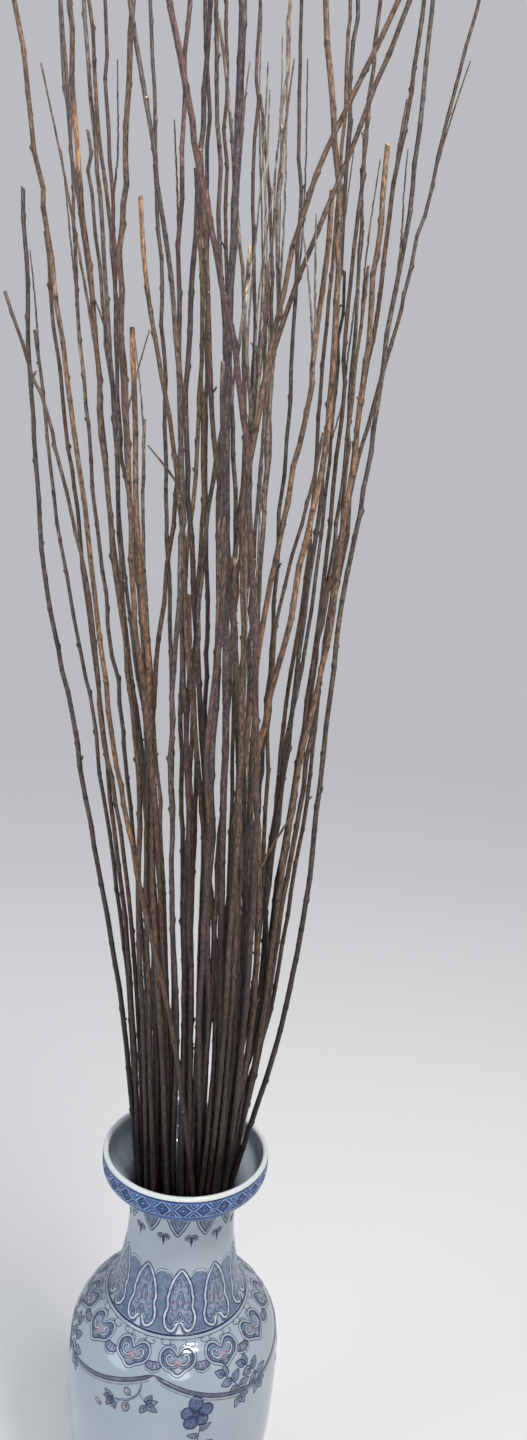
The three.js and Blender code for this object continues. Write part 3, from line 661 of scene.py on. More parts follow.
# The vase's profile turned about the axis: recess, foot ring, outside, lip, inside and floor. The inside lies
# one wall inwards from every third place of the outside.
def makeVaseBody(shape, material):
    recessRadius = shape["footRadius"] - shape["footRing"]
    floorRadius = recessRadius - shape["floorEdge"]
    recess = np.concatenate([[(recessRadius / 2, shape["recess"])],
                             np.array(shape["recessCorner"]) + (recessRadius, 0)])
    foot = np.array(shape["footCorner"]) + (shape["footRadius"], 0)
    inner = wallRun[::3] - runNormals(wallRun)[::3] * shape["wall"]
    inner = inner[inner[:, 1] > shape["floor"] + shape["innerEnd"]]
    inner = inner[np.argsort(-inner[:, 1])]
    floor = np.concatenate([np.array(shape["floorCorner"]) + (floorRadius, shape["floor"]),
                            [(floorRadius / 2, shape["floor"])]])
    profile = np.concatenate([recess, foot, wallRun[1:], lipArc(shape)[1:], inner, floor])
    around = shape["around"]
    turn = np.linspace(0, 2 * np.pi, around, endpoint=False)
    radius, height = profile[:, :1], np.repeat(profile[:, 1:], around, 1)
    places = np.stack([radius * np.sin(turn), -radius * np.cos(turn), height], -1).reshape(-1, 3)
    places = np.concatenate([places, [[0, 0, shape["recess"]], [0, 0, shape["floor"]]]])
    rows = len(profile)
    bottom, top, last = rows * around, rows * around + 1, (rows - 1) * around
    faces = gridFaces(rows, around).tolist()
    faces += [[bottom, (j + 1) % around, j] for j in range(around)]
    faces += [[top, last + j, last + (j + 1) % around] for j in range(around)]
    body = addPiece("vase_glaze", places, faces, material)
    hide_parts("vase")


glazeLook = {
    "clouds": (7, 3, 0.35, 0.68),  # a noise's scale and detail, and its range from thin to thick glaze
    "thin": (0.266, 0.322, 0.380),
    "thick": (0.334, 0.380, 0.424),
    "pinholes": (900, 1, 0.76, 0.80),
    "pinhole": (0.20, 0.19, 0.18),
    "litLipHeights": (0.6040, 0.6060),  # painted light: the lip turns white between them, as lit from above
    "lip": (0.56, 0.60, 0.60),
    "footHeights": (0.0026, 0.0020),  # the glaze ends between them
    "bareFoot": (0.52, 0.44, 0.36),
    "roughness": (0.13, 0.75),  # of the glaze and of the bare foot
    "waves": (60, 2),
    "bump": (0.25, 0.0008),
}


# Glazed porcelain: a cloudy, faintly uneven bluish white with a lip painted white by the light from above,
# and a bare edge on the foot ring
def makeGlaze(name, look):
    material, tree, shader = newMaterial(name)
    place, height = objectPlace(tree), objectHeight(tree)

    def cover(scale, detail, low, high):
        return remap(tree, noiseOf(tree, place, scale, detail), low, high)

    foot = remap(tree, height, *look["footHeights"])
    colour = mixColour(tree, cover(*look["clouds"]), look["thin"], look["thick"])
    colour = mixColour(tree, cover(*look["pinholes"]), colour, look["pinhole"])
    # Painted light: the lip is whitened as if lit from above
    colour = mixColour(tree, remap(tree, height, *look["litLipHeights"]), colour, look["lip"])
    colour = mixColour(tree, foot, colour, look["bareFoot"])
    tree.links.new(colour, shader.inputs["Base Color"])
    tree.links.new(remap(tree, foot, 0.0, 1.0, *look["roughness"]), shader.inputs["Roughness"])
    waves = noiseOf(tree, place, *look["waves"])
    tree.links.new(bumpOf(tree, waves, *look["bump"]), shader.inputs["Normal"])
    return material


makeVaseBody(vaseShape, makeGlaze("porcelain_glaze", glazeLook))
print("vase made")

# Painting on the vase. Each stroke and wash is a thin closed solid on the glaze. A painted place is given as
# (across, up) in millimetres: across along the surface from a motif's own turn, up along the profile.
paintShape = {
    "under": -0.02,  # lowest edge of a wash, inside the glaze
    "deep": -0.6,  # underside of a wash, inside the wall
    "wash": 0.05,  # upper side of a wash on the glaze, on another wash and on a leaf
    "overWash": 0.11,
    "leafWash": 0.17,
    "line": (-0.02, 0.09),  # edges and crown of a stroke on each of these
    "overLine": (0.05, 0.19),
    "leafLine": (0.15, 0.27),
    "boldness": 1.4,  # of every stroke, over the width that its table gives
    "strokeStep": 1.75,
    "thinStep": (0.9, 0.4),  # a thin stroke's step: this share of its width, and this much more
    "taper": (0.3, 1.8),  # an open stroke's width at its ends, and over how many widths it grows
    "washStep": 2.5,
    "curveSteps": 24,  # from one given point to the next, before a curve is divided evenly
    "fewestSteps": 6,
    "around": 240,
}
inks = {  # linear light
    "cobalt": (0.010, 0.017, 0.080),
    "indigo": (0.026, 0.036, 0.095),
    "greyBlue": (0.105, 0.145, 0.225),
    "greySoft": (0.185, 0.230, 0.310),
    "greyDeep": (0.055, 0.080, 0.150),
    "band": (0.070, 0.150, 0.350),
    "bandDeep": (0.026, 0.062, 0.190),
    "pale": (0.370, 0.435, 0.500),
    "paleBlue": (0.185, 0.285, 0.470),
    "bloom": (0.028, 0.042, 0.125),
    "bloomEdge": (0.075, 0.105, 0.200),
    "rose": (0.360, 0.190, 0.240),
    "blush": (0.400, 0.310, 0.350),
    "mauve": (0.085, 0.088, 0.150),
    "mauveSoft": (0.190, 0.198, 0.275),
}
painting = {kind: {"places": [], "quads": [], "triangles": [], "inks": [], "count": 0}
            for kind in ("washes", "lines")}


# Place on the vase's outside at a turn about the axis, from -Y towards +X, a way up the profile and a lift
def onGlaze(turn, run, lift):
    def lifted(values, normals):
        return np.interp(run, outsideArc, values) + np.interp(run, outsideArc, normals) * lift

    radius, height = (lifted(outsideRun[:, k], outsideNormals[:, k]) for k in (0, 1))
    return np.stack([radius * np.sin(turn), -radius * np.cos(turn), height + 0 * turn], -1)


# Adds one solid at each turn, in degrees, from its (across, up) places, lifts, faces and an ink for each
# place. Where it is polar, across is an angle in radians.
def addPaint(kind, places, lifts, quads, triangles, colours, turns, polar=False):
    store = painting[kind]
    run = places[:, 1] * 1e-3
    around = places[:, 0] if polar else places[:, 0] * 1e-3 / np.interp(run, outsideArc, outsideRun[:, 0])
    turn = np.radians(np.atleast_1d(turns).astype(float))[:, None] + around
    copies, count = turn.shape
    start = store["count"] + np.arange(copies)[:, None, None] * count
    store["places"].append(onGlaze(turn, run, lifts * 1e-3).reshape(-1, 3))
    store["quads"].append((np.reshape(quads, (-1, 4))[None] + start).reshape(-1, 4))
    store["triangles"].append((np.reshape(triangles, (-1, 3)).astype(int)[None] + start).reshape(-1, 3))
    store["inks"].append(np.tile(colours, (copies, 1)))
    store["count"] += copies * count


# Places a step apart on a smooth curve through the points, which may close on itself
def evenRun(points, step, closed=False):
    points = np.asarray(points, dtype=float)
    if closed:
        points = np.concatenate([points[-1:], points, points[:2]])
    dense = smoothRun(points, paintShape["curveSteps"] * len(points))
    if closed:
        share = np.linspace(0, len(points) - 1, len(dense))
        dense = dense[(share >= 1) & (share <= len(points) - 2)]
    length = np.r_[0, np.cumsum(np.linalg.norm(np.diff(dense, axis=0), axis=1))]
    at = np.linspace(0, length[-1], max(int(round(length[-1] / step)), paintShape["fewestSteps"]) + 1)
    even = np.c_[np.interp(at, length, dense[:, 0]), np.interp(at, length, dense[:, 1])]
    return even[:-1] if closed else even


# A brush stroke: two low edges and a crown between them along the curve. Open ones taper at the ends.
def addStroke(points, width, ink, turns=0.0, closed=False, crown="line"):
    width = width * paintShape["boldness"]
    share, more = paintShape["thinStep"]
    step = min(paintShape["strokeStep"], share * width + more)
    path = evenRun(points, step, closed)
    count = len(path)
    ahead = unit(np.roll(path, -1, 0) - np.roll(path, 1, 0)) if closed else unit(np.gradient(path, axis=0))
    half = np.full(count, width / 2)
    if not closed:
        least, widths = paintShape["taper"]
        fromEnd = np.minimum(np.arange(count), np.arange(count)[::-1]) * step
        half *= np.clip(least + fromEnd / (widths * width), 0, 1)
    sideways = np.c_[-ahead[:, 1], ahead[:, 0]] * half[:, None]
    places = np.stack([path + sideways, path, path - sideways], 1).reshape(-1, 2)
    edge, top = paintShape[crown]
    quads = gridFaces(count + closed, 3) % (count * 3)
    last = (count - 1) * 3
    caps = [] if closed else [[2, 1, 0], [last, last + 1, last + 2]]
    lifts, colours = np.tile([edge, top, edge], count), np.tile(inks[ink], (count * 3, 1))
    addPaint("lines", places, lifts, quads, caps, colours, turns)


# Twice the area that a closed path goes round to the left
def turning(path):
    following = np.roll(path, -1, 0)
    return (path[:, 0] * following[:, 1] - following[:, 0] * path[:, 1]).sum()


# A wash: rings of the outline drawn in towards a middle point, so the outline must be seen whole from there.
# Its underside has a third of the rings. The edge's ink grows with the cube of the way out from the middle.
def addWash(outline, middle, ink, edgeInk, turns=0.0, top="wash"):
    path = evenRun(outline, paintShape["washStep"], closed=True)
    if turning(path) > 0:
        path = path[::-1]
    middle = np.asarray(middle, dtype=float)
    count = len(path)
    rings = max(math.ceil(np.linalg.norm(path - middle, axis=1).max() / paintShape["washStep"]), 3)
    lower = math.ceil(rings / 3)
    shares = np.arange(1, rings + 1) / rings
    grid = middle + (path - middle)[None] * np.r_[shares, np.arange(lower, 0, -1) / lower][:, None, None]
    places = np.concatenate([[middle], grid.reshape(-1, 2), [middle]])
    lifts = np.r_[np.full(1 + rings * count, paintShape[top]), np.full(count, paintShape["under"]),
                  np.full((lower - 1) * count + 1, paintShape["deep"])]
    j = np.arange(count)
    after, last = (j + 1) % count, 1 + (rings + lower - 1) * count
    triangles = np.concatenate([np.stack([0 * j, 1 + after, 1 + j], 1),
                                np.stack([0 * j + last + count, last + j, last + after], 1)])
    weight = np.r_[0, np.repeat(shares ** 3, count), np.ones(lower * count), 1][:, None]
    colours = np.array(inks[ink]) * (1 - weight) + np.array(inks[edgeInk]) * weight
    addPaint("washes", places, lifts, gridFaces(rings + lower, count) + 1, triangles, colours, turns)


# A band all round the vase, from a closed run of (up, lift) places that goes down over its outside
def addBand(kind, ups, lifts, colours):
    around, columns = paintShape["around"], len(ups)
    turn = np.repeat(np.linspace(0, 2 * np.pi, around, endpoint=False), columns)
    quads = gridFaces(around + 1, columns) % (around * columns)
    addPaint(kind, np.c_[turn, np.tile(ups, around)], np.tile(lifts, around), quads, [],
             np.tile(colours, (around, 1)), 0.0, polar=True)


# Lines all round the vase as (up, width, ink)
def addRings(rings, crown="line"):
    edge, top = paintShape[crown]
    for up, width, ink in rings:
        addBand("lines", (up + width / 2, up, up - width / 2), (edge, top, edge), np.tile(inks[ink], (3, 1)))


def mirrored(points):
    return [(-across, up) for across, up in points]


# A closed outline from its right half, whose first and last points are on the middle line
def wholeOutline(half):
    return list(half) + mirrored(half[-2:0:-1])


# The outline moved inwards by the same distance everywhere, square to itself
def drawnIn(outline, distance):
    path = evenRun(outline, paintShape["washStep"], closed=True)
    ahead = unit(np.roll(path, -2, 0) - np.roll(path, 2, 0))
    return (path + np.c_[-ahead[:, 1], ahead[:, 0]] * np.sign(turning(path)) * distance)[::2]


def placedAt(points, middle, degrees):
    turn = math.radians(degrees)
    points = np.asarray(points, dtype=float)
    return np.c_[points[:, 0] * math.cos(turn) - points[:, 1] * math.sin(turn) + middle[0],
                 points[:, 0] * math.sin(turn) + points[:, 1] * math.cos(turn) + middle[1]]


# Strokes of a motif as (ink, width, points); those in pairs are drawn on both sides of its middle line
def drawStrokes(strokes, turns, crown="line", pairs=False):
    for ink, width, points in strokes:
        addStroke(points, width, ink, turns, crown=crown)
        if pairs:
            addStroke(mirrored(points), width, ink, turns, crown=crown)


rimBand = {
    "low": 603.5, "high": 645.8, "rows": 20,
    "cells": 26, "turn": 0.7, "up": 634.5, "diamond": (7.4, 7.6), "wash": 0.9,
    "frames": ((1.28, 1.1, "paleBlue"), (1.0, 1.2, "cobalt"), (0.66, 0.6, "band"), (0.42, 0.9, "cobalt")),
    "cross": ("paleBlue", 0.8, 2.4),
    "chevrons": ((0.0, "cobalt"), (2.6, "paleBlue"), (4.8, "cobalt")),  # inset and ink
    "chevron": {"width": 0.95, "tip": 1.2, "arm": 8.6, "gap": 1.4, "lean": 0.75, "rise": 0.55, "shrink": 7},
    "rings": ((645.4, 2.0, "cobalt"), (624.6, 1.0, "paleBlue"), (622.4, 1.2, "cobalt"),
              (610.0, 1.4, "paleBlue"), (604.4, 2.6, "cobalt")),
}


# The band on the rim: a blue ground that is darker low down, lines, diamonds in frames with a cross, and
# nested chevrons over and under the gaps between the diamonds
def paintRim(band):
    rows = np.linspace(band["high"], band["low"], band["rows"])
    share = np.linspace(0, 1, band["rows"])[:, None] ** 2
    colours = np.array(inks["band"]) * (1 - share) + np.array(inks["bandDeep"]) * share
    lifts = np.repeat([paintShape["wash"], paintShape["under"]], band["rows"])
    addBand("washes", np.r_[rows, rows[::-1]], lifts, np.concatenate([colours, colours[::-1]]))
    addRings(band["rings"], crown="overLine")
    turns = band["turn"] + np.arange(band["cells"]) * 360 / band["cells"]
    (wide, tall), up = band["diamond"], band["up"]
    corners = [(0, tall), (wide, 0), (0, -tall), (-wide, 0)]
    sides = list(zip(corners, corners[1:] + corners[:1]))

    def scaledUp(points, size):
        return [(across * size, up + rise * size) for across, rise in points]

    filled = [place for start, end in sides for place in (start, np.add(start, end) / 2)]
    addWash(scaledUp(filled, band["wash"]), (0, up), "bandDeep", "bandDeep", turns, top="overWash")
    for size, width, ink in band["frames"]:
        drawStrokes([(ink, width, scaledUp(side, size)) for side in sides], turns, "leafLine")
    ink, width, arm = band["cross"]
    for arms in ([(0, up - arm), (0, up + arm)], [(-arm, up), (arm, up)]):
        addStroke(arms, width, ink, turns, crown="leafLine")
    shape = band["chevron"]
    between = math.pi * vaseShape["lipRadius"] * 1e3 / band["cells"]  # half the way to the next diamond
    for way in (1, -1):
        for inset, ink in band["chevrons"]:
            tip = (between, up + way * (shape["tip"] + inset * shape["rise"]))
            reach = (between - shape["gap"]) * (1 - inset / shape["shrink"]) * shape["lean"]
            arms = [(between + side * reach, up + way * shape["arm"]) for side in (-1, 1)]
            drawStrokes([(ink, shape["width"], [tip, end]) for end in arms], turns, "overLine")


lappets = {
    "turns": -3 + 30 * np.arange(12),
    "half": [(0, 601), (12, 601), (16.4, 600), (15.6, 590), (13.2, 579), (9.8, 570), (5.2, 562), (0, 556)],
    "middle": (0, 585),
    "insets": ((0, 1.1, "indigo"), (1.6, 1.5, "pale"), (3.4, 0.8, "cobalt")),  # lines inside the outline
    "veins": [("indigo", 0.7, [(5.2, 594), (6.2, 585), (4.0, 576), (1.6, 569)])],
}
pendants = {
    "turns": 12 + 30 * np.arange(12),
    "pairs": [("cobalt", 1.3, [(0, 557.5), (3.6, 558.2), (6.6, 556.4), (8.2, 552.8)]),
              ("cobalt", 1.6, [(2.2, 557), (5.0, 554.6), (7.2, 550.4)]),
              ("cobalt", 1.2, [(1.4, 556.4), (3.4, 552.6), (4.6, 549.0)]),
              ("indigo", 1.0, [(1.1, 556), (1.5, 551), (0.9, 546.5)])],
    "strokes": [("cobalt", 1.2, [(0, 558), (0, 551), (0, 542)])],
}


def paintLappets():
    outline, turns = wholeOutline(lappets["half"]), lappets["turns"]
    addWash(outline, lappets["middle"], "greyBlue", "greyDeep", turns)
    for inset, width, ink in lappets["insets"]:
        points = drawnIn(outline, inset) if inset else outline
        addStroke(points, width, ink, turns, closed=True, crown="overLine")
    drawStrokes(lappets["veins"], turns, "overLine", pairs=True)
    drawStrokes(pendants["pairs"], pendants["turns"], pairs=True)
    drawStrokes(pendants["strokes"], pendants["turns"])


ground = {  # the grey-blue panels of the neck, one for each plain leaf
    "turns": 22 + 36 * np.arange(10),
    "half": [(0, 507.6), (4.6, 507.2), (8.6, 504.0), (11.4, 498.5), (14.5, 488), (17.5, 476), (19.8, 464),
             (21.6, 450), (23.4, 436.5), (12, 436.0), (0, 436.0)],
    "middle": (0, 470),
    "tips": (("pale", 2.6, 2.0), ("indigo", 0.8, 3.4)),  # lines over its round top: ink, width, way over it
}
ornateLeaf = {
    "turns": 4 + 36 * np.arange(10),
    "half": [(0, 513.4), (3.6, 510.6), (6.8, 506.2), (11.2, 498), (14.2, 489.5), (15.6, 482), (17.3, 474.5),
             (16.4, 466), (19.0, 459), (20.4, 451.5), (19.2, 443.5), (15.2, 438.4), (10.2, 436.4),
             (6.0, 438.4), (3.2, 442.6), (0, 447)],
    "middle": (0, 468),
    "rim": 3.7,  # between its two outlines
    "outer": (1.3, "cobalt"),  # width and ink of the outlines
    "inner": (0.9, "cobalt"),
    "pairs": [("cobalt", 0.75, [(0, 486), (2.6, 480.5), (4.4, 473), (3.6, 466), (6.4, 462), (9.6, 463.6),
                                (9.2, 467)]),
              ("indigo", 0.7, [(0, 482), (1.6, 477), (2.2, 470), (1.8, 464)]),
              ("indigo", 0.75, [(2.0, 501), (4.4, 497.5), (5.2, 493), (3.4, 490.6), (2.4, 492.6)]),
              ("indigo", 0.7, [(7.2, 492), (9.2, 486.5), (8.6, 481.5), (6.6, 482.5)]),
              ("indigo", 0.75, [(11.2, 480.5), (12.8, 474), (10.8, 470), (8.6, 472), (9.8, 474.6)]),
              ("cobalt", 0.8, [(12.4, 463), (15.4, 456.5), (15.2, 449.0), (11.4, 445.4), (8.6, 448.4),
                               (10.6, 451.4), (12.4, 450.0)]),
              ("indigo", 0.7, [(6.8, 458.5), (9.6, 456.5), (11.0, 459.5)]),
              ("cobalt", 0.7, [(0, 460.4), (2.4, 457.0), (3.0, 452.4), (1.8, 449.8)]),
              ("indigo", 0.7, [(4.4, 455.0), (6.2, 450.4), (5.4, 446.4)]),
              ("rose", 1.5, [(6.0, 476.5), (7.6, 471.0), (6.4, 467.2)]),
              ("rose", 1.2, [(4.6, 461.0), (7.4, 459.8), (9.8, 461.2)]),
              ("pale", 0.9, [(0, 447.2), (2.8, 449.6), (5.6, 448.4), (6.4, 444.6), (4.6, 443.0)])],
    "strokes": [("cobalt", 1.9, [(-0.9, 496), (0.9, 496)]), ("cobalt", 1.0, [(0, 494.6), (0, 489.5)]),
                ("cobalt", 1.4, [(0, 455.2), (0, 452.6)])],
}
neckRings = ((434.0, 2.8, "cobalt"), (429.4, 1.0, "indigo"))


def paintNeck():
    outline, turns = wholeOutline(ground["half"]), ground["turns"]
    addWash(outline, ground["middle"], "greyBlue", "greyBlue", turns)
    for ink, width, over in ground["tips"]:
        right = [(across, up + over) for across, up in ground["half"][:4]]
        addStroke(mirrored(right[:0:-1]) + right, width, ink, turns)
    leaf, turns = ornateLeaf, ornateLeaf["turns"]
    outline, middle = wholeOutline(leaf["half"]), leaf["middle"]
    inner = drawnIn(outline, leaf["rim"])
    addWash(outline, middle, "pale", "pale", turns, top="overWash")
    addWash(inner, middle, "greySoft", "greyBlue", turns, top="leafWash")
    addStroke(outline, *leaf["outer"], turns, closed=True, crown="overLine")
    addStroke(inner, *leaf["inner"], turns, closed=True, crown="leafLine")
    drawStrokes(leaf["pairs"], turns, "leafLine", pairs=True)
    drawStrokes(leaf["strokes"], turns, "leafLine")
    addRings(neckRings)


hook = [(0.6, 405.6), (4.6, 402.8), (9.6, 403.2), (13.2, 406.8), (12.8, 411.6), (9.2, 413.4), (6.6, 411.0),
        (8.4, 408.6)]
ruyiHead = {
    "turns": -26.6 + 30 * np.arange(12),
    "half": [(0, 415.0), (3.2, 419.8), (8.6, 423.0), (14.6, 422.2), (19.6, 418.0), (22.4, 411.5),
             (21.8, 404.6), (18.0, 399.4), (12.6, 396.4), (8.6, 394.6), (4.6, 391.4), (0, 389.8)],
    "middle": (0, 405.5),
    "rim": 3.2,  # between its two outlines
    "outer": (0.9, "greyDeep"),  # width and ink of the outlines
    "inner": (0.9, "indigo"),
    "pairs": [("indigo", 2.5, hook),
              ("indigo", 0.7, [(16.6, 413.5), (17.0, 408.0), (15.2, 403.6)]),
              ("indigo", 0.7, [(2.2, 399.4), (5.6, 399.0), (8.6, 399.8)])],
    "light": [("pale", 1.5, hook)],
    "strokes": [("rose", 2.6, [(0, 399.6), (0, 403.4), (0, 408.6)]),
                ("rose", 1.4, [(-5.6, 404.4), (0, 406.4), (5.6, 404.4)])],
    "tendril": ("greyDeep", 0.9),
    "tendrils": [[(-1, 419), (-4, 423.6), (-8.8, 425.2), (-9.6, 428.6), (-6.8, 429.4), (-6.4, 427)],
                 [(1, 419), (4, 423.6), (8.8, 424.8), (9.8, 428.4), (7, 429.6), (6.4, 427.2)],
                 [(-7, 424.8), (-12.4, 423.6), (-18.4, 424), (-20.6, 427.2), (-18, 428.8), (-17, 426.6)],
                 [(7, 424.6), (12.8, 423), (18.6, 421.8), (21, 424.6), (18.8, 426.8), (17.4, 424.8)]],
}
tassel = {
    "turns": -11.6 + 30 * np.arange(12),
    "half": [(0, 404.2), (4.6, 404.6), (7.2, 403.2), (9.4, 399.4), (6.8, 397.0), (3.6, 396.2), (0, 395.0)],
    "middle": (0, 400.4),
    "outer": (0.8, "indigo"),
    "hem": [("greyDeep", 0.7, [(-9.6, 396.6), (-6.6, 394.2), (-3.4, 393.6), (0, 392.2), (3.4, 393.6),
                               (6.6, 394.2), (9.6, 396.6)])],
    "strokes": [("indigo", 0.6, [(-3.6, 403.2), (-4.6, 400.4), (-5.6, 397.8)]),
                ("indigo", 0.6, [(0, 403.4), (0, 396.4)]),
                ("indigo", 0.6, [(3.6, 403.2), (4.6, 400.4), (5.6, 397.8)])],
}


def paintShoulder():
    head, turns = ruyiHead, ruyiHead["turns"]
    outline, middle = wholeOutline(head["half"]), head["middle"]
    inner = drawnIn(outline, head["rim"])
    addStroke(outline, *head["outer"], turns, closed=True)
    addWash(inner, middle, "greySoft", "greyDeep", turns)
    addStroke(inner, *head["inner"], turns, closed=True, crown="overLine")
    drawStrokes(head["pairs"], turns, "overLine", pairs=True)
    drawStrokes(head["light"], turns, "leafLine", pairs=True)
    drawStrokes(head["strokes"], turns, "leafLine")
    drawStrokes([(*head["tendril"], points) for points in head["tendrils"]], turns)
    outline, turns = wholeOutline(tassel["half"]), tassel["turns"]
    addWash(outline, tassel["middle"], "mauveSoft", "mauve", turns)
    addStroke(outline, *tassel["outer"], turns, closed=True, crown="overLine")
    drawStrokes(tassel["strokes"], turns, "overLine")
    drawStrokes(tassel["hem"], turns)


border = {
    "lobes": 3, "turn": -10, "cusp": 390.5, "drop": 38, "curve": 1.4, "points": 41,
    "lines": ((0, 4.4, "mauve"), (-5.8, 1.1, "mauveSoft")),
}


# The border hangs in lobes: from each cusp it drops by 1 - share ^ curve of its whole drop, where share is
# what is left of the way to mid-lobe
def paintBorder(shape):
    half = 180 / shape["lobes"]
    share = np.abs(np.linspace(-1, 1, shape["points"]))
    up = shape["cusp"] - shape["drop"] * (1 - share ** shape["curve"])
    radius = np.interp(up * 1e-3, outsideArc, outsideRun[:, 0]) * 1e3
    across = np.radians(np.linspace(-half, half, shape["points"])) * radius
    turns = shape["turn"] + half + np.arange(shape["lobes"]) * 2 * half
    for offset, width, ink in shape["lines"]:
        addStroke(np.c_[across, up + offset], width, ink, turns, crown="overLine")


petalShape = {
    "steps": 13, "line": 0.9, "vein": 0.55,
    "veins": (-0.22, 0.0, 0.22),  # across, over the width
    "closing": 0.8,  # of the side veins at their tips
    "veinEnds": (0.1, 0.5, 0.84),  # along, over the length
}
petalKinds = {  # inks of the middle, edge and lines, then point and fullness
    "bud": ("blush", "greySoft", "indigo", 0.9, 0.6),
    "bloom": ("bloomEdge", "bloom", "cobalt", 1.5, 0.55),
    "leaf": ("greySoft", "greyBlue", "indigo", 0.7, 0.9),
}


# A petal or leaf that stands on its foot. Its half width is the sine of its way along to the power of its
# point, which moves its widest place; that sine is taken to the power of its fullness, which rounds its ends.
def addPetal(foot, length, width, degrees, kind, turns):
    ink, edgeInk, lineInk, point, fullness = petalKinds[kind]
    share = np.linspace(0, 1, petalShape["steps"])
    right = np.c_[width / 2 * np.sin(np.pi * share ** point) ** fullness, length * share]
    outline = placedAt(np.concatenate([right, right[-2:0:-1] * (-1, 1)]), foot, degrees)
    addWash(outline, placedAt([(0, length * 0.5)], foot, degrees)[0], ink, edgeInk, turns)
    addStroke(outline, petalShape["line"], lineInk, turns, closed=True, crown="overLine")
    low, middle, high = petalShape["veinEnds"]
    for side in petalShape["veins"]:
        tip = (width * side * petalShape["closing"], length * (high - abs(side)))
        vein = [(0, length * low), (width * side, length * middle), tip]
        addStroke(placedAt(vein, foot, degrees), petalShape["vein"], lineInk, turns, crown="overLine")


# Sprays of leaves, buds and flowers under the border. A petal is (foot, length, width, degrees to the left).
vine = [(0, 381), (0.4, 373), (-3, 365), (-12, 357), (-24, 352), (-34, 350)]
budSpray = {
    "turns": -16.3 + 120 * np.arange(3),
    "strokes": [("greyDeep", 2.2, vine),
                ("greyDeep", 0.8, [(-0.6, 369.5), (4, 363), (9, 357.5)]),
                ("greyDeep", 0.8, [(-12, 357), (-13.5, 352)]),
                ("greyDeep", 0.8, [(-8, 360), (-11, 363)]),
                ("greyDeep", 0.8, [(-24, 352), (-30, 342), (-36, 336)])],
    "light": [("greySoft", 0.7, vine)],
    "bud": [((-12, 362), 10, 8, 40), ((-14, 352), 13, 9.5, 165), ((-50, 332), 10, 7, 80)],
    "leaf": [((10, 356), 15, 9, -118), ((9, 357), 15, 8, -68), ((9, 358), 13, 8, -30), ((9, 355), 13, 8, 150),
             ((-33, 349), 15, 8, 62), ((-34, 350), 14, 8, 105), ((-35, 349), 15, 8, 150),
             ((-33, 348), 12, 8, 195)],
}
bloomSpray = {
    "turns": 14.3 + 120 * np.arange(3),
    "strokes": [("indigo", 1.0, [(2, 340), (5, 326), (3, 310), (9, 296)])],
    "bloom": [((0, 345), 24, 17, 4), ((0, 345), 19, 16, 76), ((0, 345), 21, 17, 148), ((0, 345), 18, 15, 220),
              ((0, 345), 21, 17, 292)],
    "middle": (0, 345),
    "heart": [(2.6, 345), (0, 347.6), (-2.6, 345), (0, 342.4)],
    "leaf": [((5, 322), 16, 8, -60), ((4, 314), 15, 8, 75), ((8, 300), 15, 8, -75)],
}
leafSpray = {
    "turns": np.concatenate([37 + 120 * np.arange(3), -69 + 120 * np.arange(3)]),
    "strokes": [("indigo", 0.9, [(-14, 384), (-4, 372), (4, 362), (6, 348)])],
    "leaf": [((-13, 383), 13, 9, 60), ((-12, 381), 13, 9, -10), ((-5, 374), 15, 10, 95),
             ((-4, 372), 15, 10, -48), ((2, 364), 15, 10, 118), ((4, 362), 17, 11, -78),
             ((6, 350), 16, 11, 150), ((6, 349), 15, 10, -150), ((6, 351), 14, 10, -112)],
}


def paintSprays():
    sprays = (budSpray, bloomSpray, leafSpray)
    for spray in sprays:
        drawStrokes(spray["strokes"], spray["turns"])
    drawStrokes(budSpray["light"], budSpray["turns"], "overLine")
    for kind in petalKinds:
        for spray in sprays:
            for petal in spray.get(kind, ()):
                addPetal(*petal, kind, spray["turns"])
    addWash(bloomSpray["heart"], bloomSpray["middle"], "rose", "blush", bloomSpray["turns"], "overWash")


footRings = ((15, 3.2, "indigo"), (20.5, 1.0, "indigo"), (6.5, 1.2, "indigo"))
inkLook = {"cloud": (170, 3), "wet": (0.35, 0.65, 0.72, 1.32), "roughness": 0.17, "specular": 0.5}


# Ink under a clear glaze: the stroke's own colour, cloudy where the brush was wetter
def makeInk(name, look):
    material, tree, shader = newMaterial(name)
    wet = remap(tree, noiseOf(tree, objectPlace(tree), *look["cloud"]), *look["wet"])
    tree.links.new(scaled(tree, attributeOf(tree, "ink", "Color"), wet), shader.inputs["Base Color"])
    shader.inputs["Roughness"].default_value = look["roughness"]
    shader.inputs["Specular IOR Level"].default_value = look["specular"]
    return material


def makePainting():
    paintRim(rimBand)
    paintLappets()
    paintNeck()
    paintShoulder()
    paintBorder(border)
    paintSprays()
    addRings(footRings)
    material = makeInk("vase_ink", inkLook)
    for kind, store in painting.items():
        faces = np.concatenate(store["quads"]).tolist() + np.concatenate(store["triangles"]).tolist()
        colours = np.concatenate(store["inks"])
        attributes = [("ink", "FLOAT_COLOR", np.c_[colours, np.ones(len(colours))])]
        places = np.concatenate(store["places"])
        addPiece("vase_painted_" + kind, places, faces, material, attributes)
        print("painted", kind, "made of", len(faces), "faces")


makePainting()

# Floor and light
room = {"colour": (0.93, 0.95, 1.0), "strength": 0.53}
floorShape = {"half": 9, "colour": (0.80, 0.80, 0.80), "roughness": 0.6, "fade": (1.2, 6.0)}


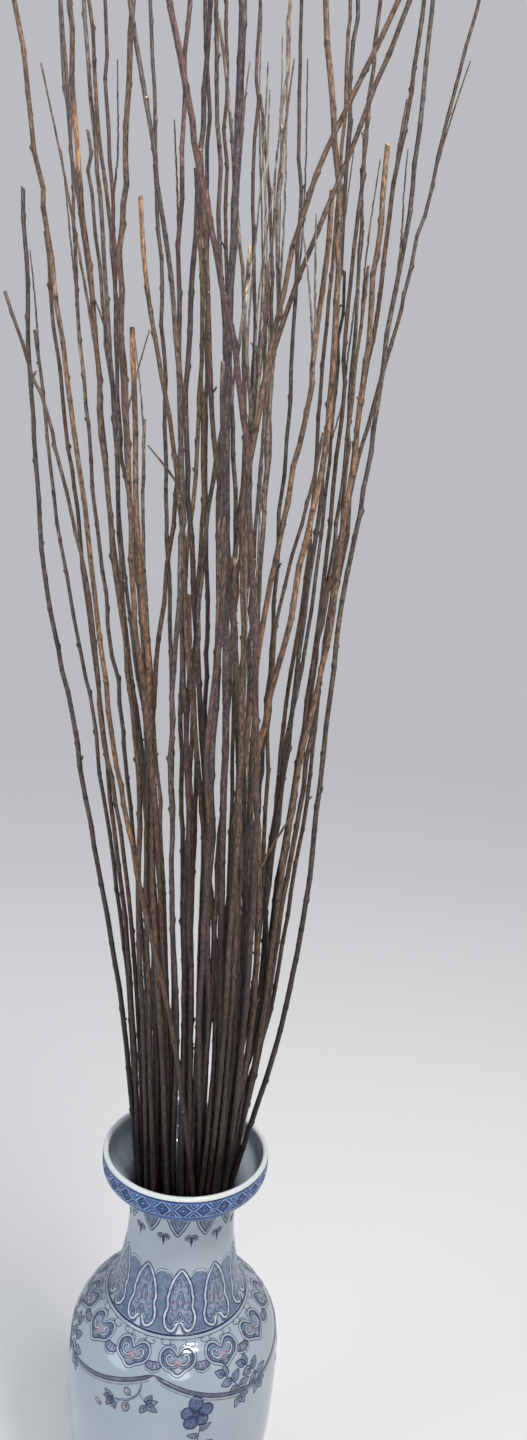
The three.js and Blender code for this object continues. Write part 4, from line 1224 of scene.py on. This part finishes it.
# A pale floor that fades into the colour of the room's light far from the vase, so that no horizon shows
def makeFloor(shape):
    material, tree, shader = newMaterial("floor_pale")
    shader.inputs["Base Color"].default_value = (*shape["colour"], 1)
    shader.inputs["Roughness"].default_value = shape["roughness"]
    distance = tree.nodes.new("ShaderNodeVectorMath")
    distance.operation = "LENGTH"
    tree.links.new(objectPlace(tree), distance.inputs[0])
    glow = tree.nodes.new("ShaderNodeEmission")
    glow.inputs["Color"].default_value = (*room["colour"], 1)
    glow.inputs["Strength"].default_value = room["strength"]
    mix = tree.nodes.new("ShaderNodeMixShader")
    away = remap(tree, distance.outputs["Value"], *shape["fade"], interpolation="SMOOTHSTEP")
    tree.links.new(away, mix.inputs["Fac"])
    tree.links.new(shader.outputs["BSDF"], mix.inputs[1])
    tree.links.new(glow.outputs["Emission"], mix.inputs[2])
    tree.links.new(mix.outputs["Shader"], tree.nodes["Material Output"].inputs["Surface"])
    mesh = bpy.data.meshes.new("floor")
    half = shape["half"]
    corners = [(-half, -half, 0), (half, -half, 0), (half, half, 0), (-half, half, 0)]
    mesh.from_pydata(corners, [], [(0, 1, 2, 3)])
    mesh.materials.append(material)
    floor = bpy.data.objects.new("floor", mesh)
    bpy.context.scene.collection.objects.link(floor)
    return floor


floor = makeFloor(floorShape)

lights = {
    "ceiling": {"at": (0.83, -1.13, 3.6), "size": 0.6, "power": 76, "colour": (1.0, 0.97, 0.93)},
    "window": {"at": (-2.6, -1.6, 1.7), "size": 1.6, "power": 26, "colour": (0.74, 0.87, 1.0)},
    "front": {"at": (0.5, -3.0, 2.1), "size": 1.2, "power": 27, "colour": (1.0, 0.96, 0.92)},
}
lightAim = Vector((0.0, 0.0, 1.0))


def addLight(name, light):
    data = bpy.data.lights.new(name, "AREA")
    data.shape = "DISK"
    data.size = light["size"]
    data.energy = light["power"]
    data.color = light["colour"]
    lamp = bpy.data.objects.new(name, data)
    lamp.location = light["at"]
    lamp.rotation_euler = (lightAim - Vector(light["at"])).to_track_quat("-Z", "Y").to_euler()
    bpy.context.scene.collection.objects.link(lamp)


for name, light in lights.items():
    addLight(name, light)
world = bpy.data.worlds.new("studio")
world.use_nodes = True
background = world.node_tree.nodes["Background"]
background.inputs["Color"].default_value = (*room["colour"], 1)
background.inputs["Strength"].default_value = room["strength"]
bpy.context.scene.world = world
bpy.context.scene.view_settings.view_transform = "Standard"
print("floor and light made")

print("finishing")
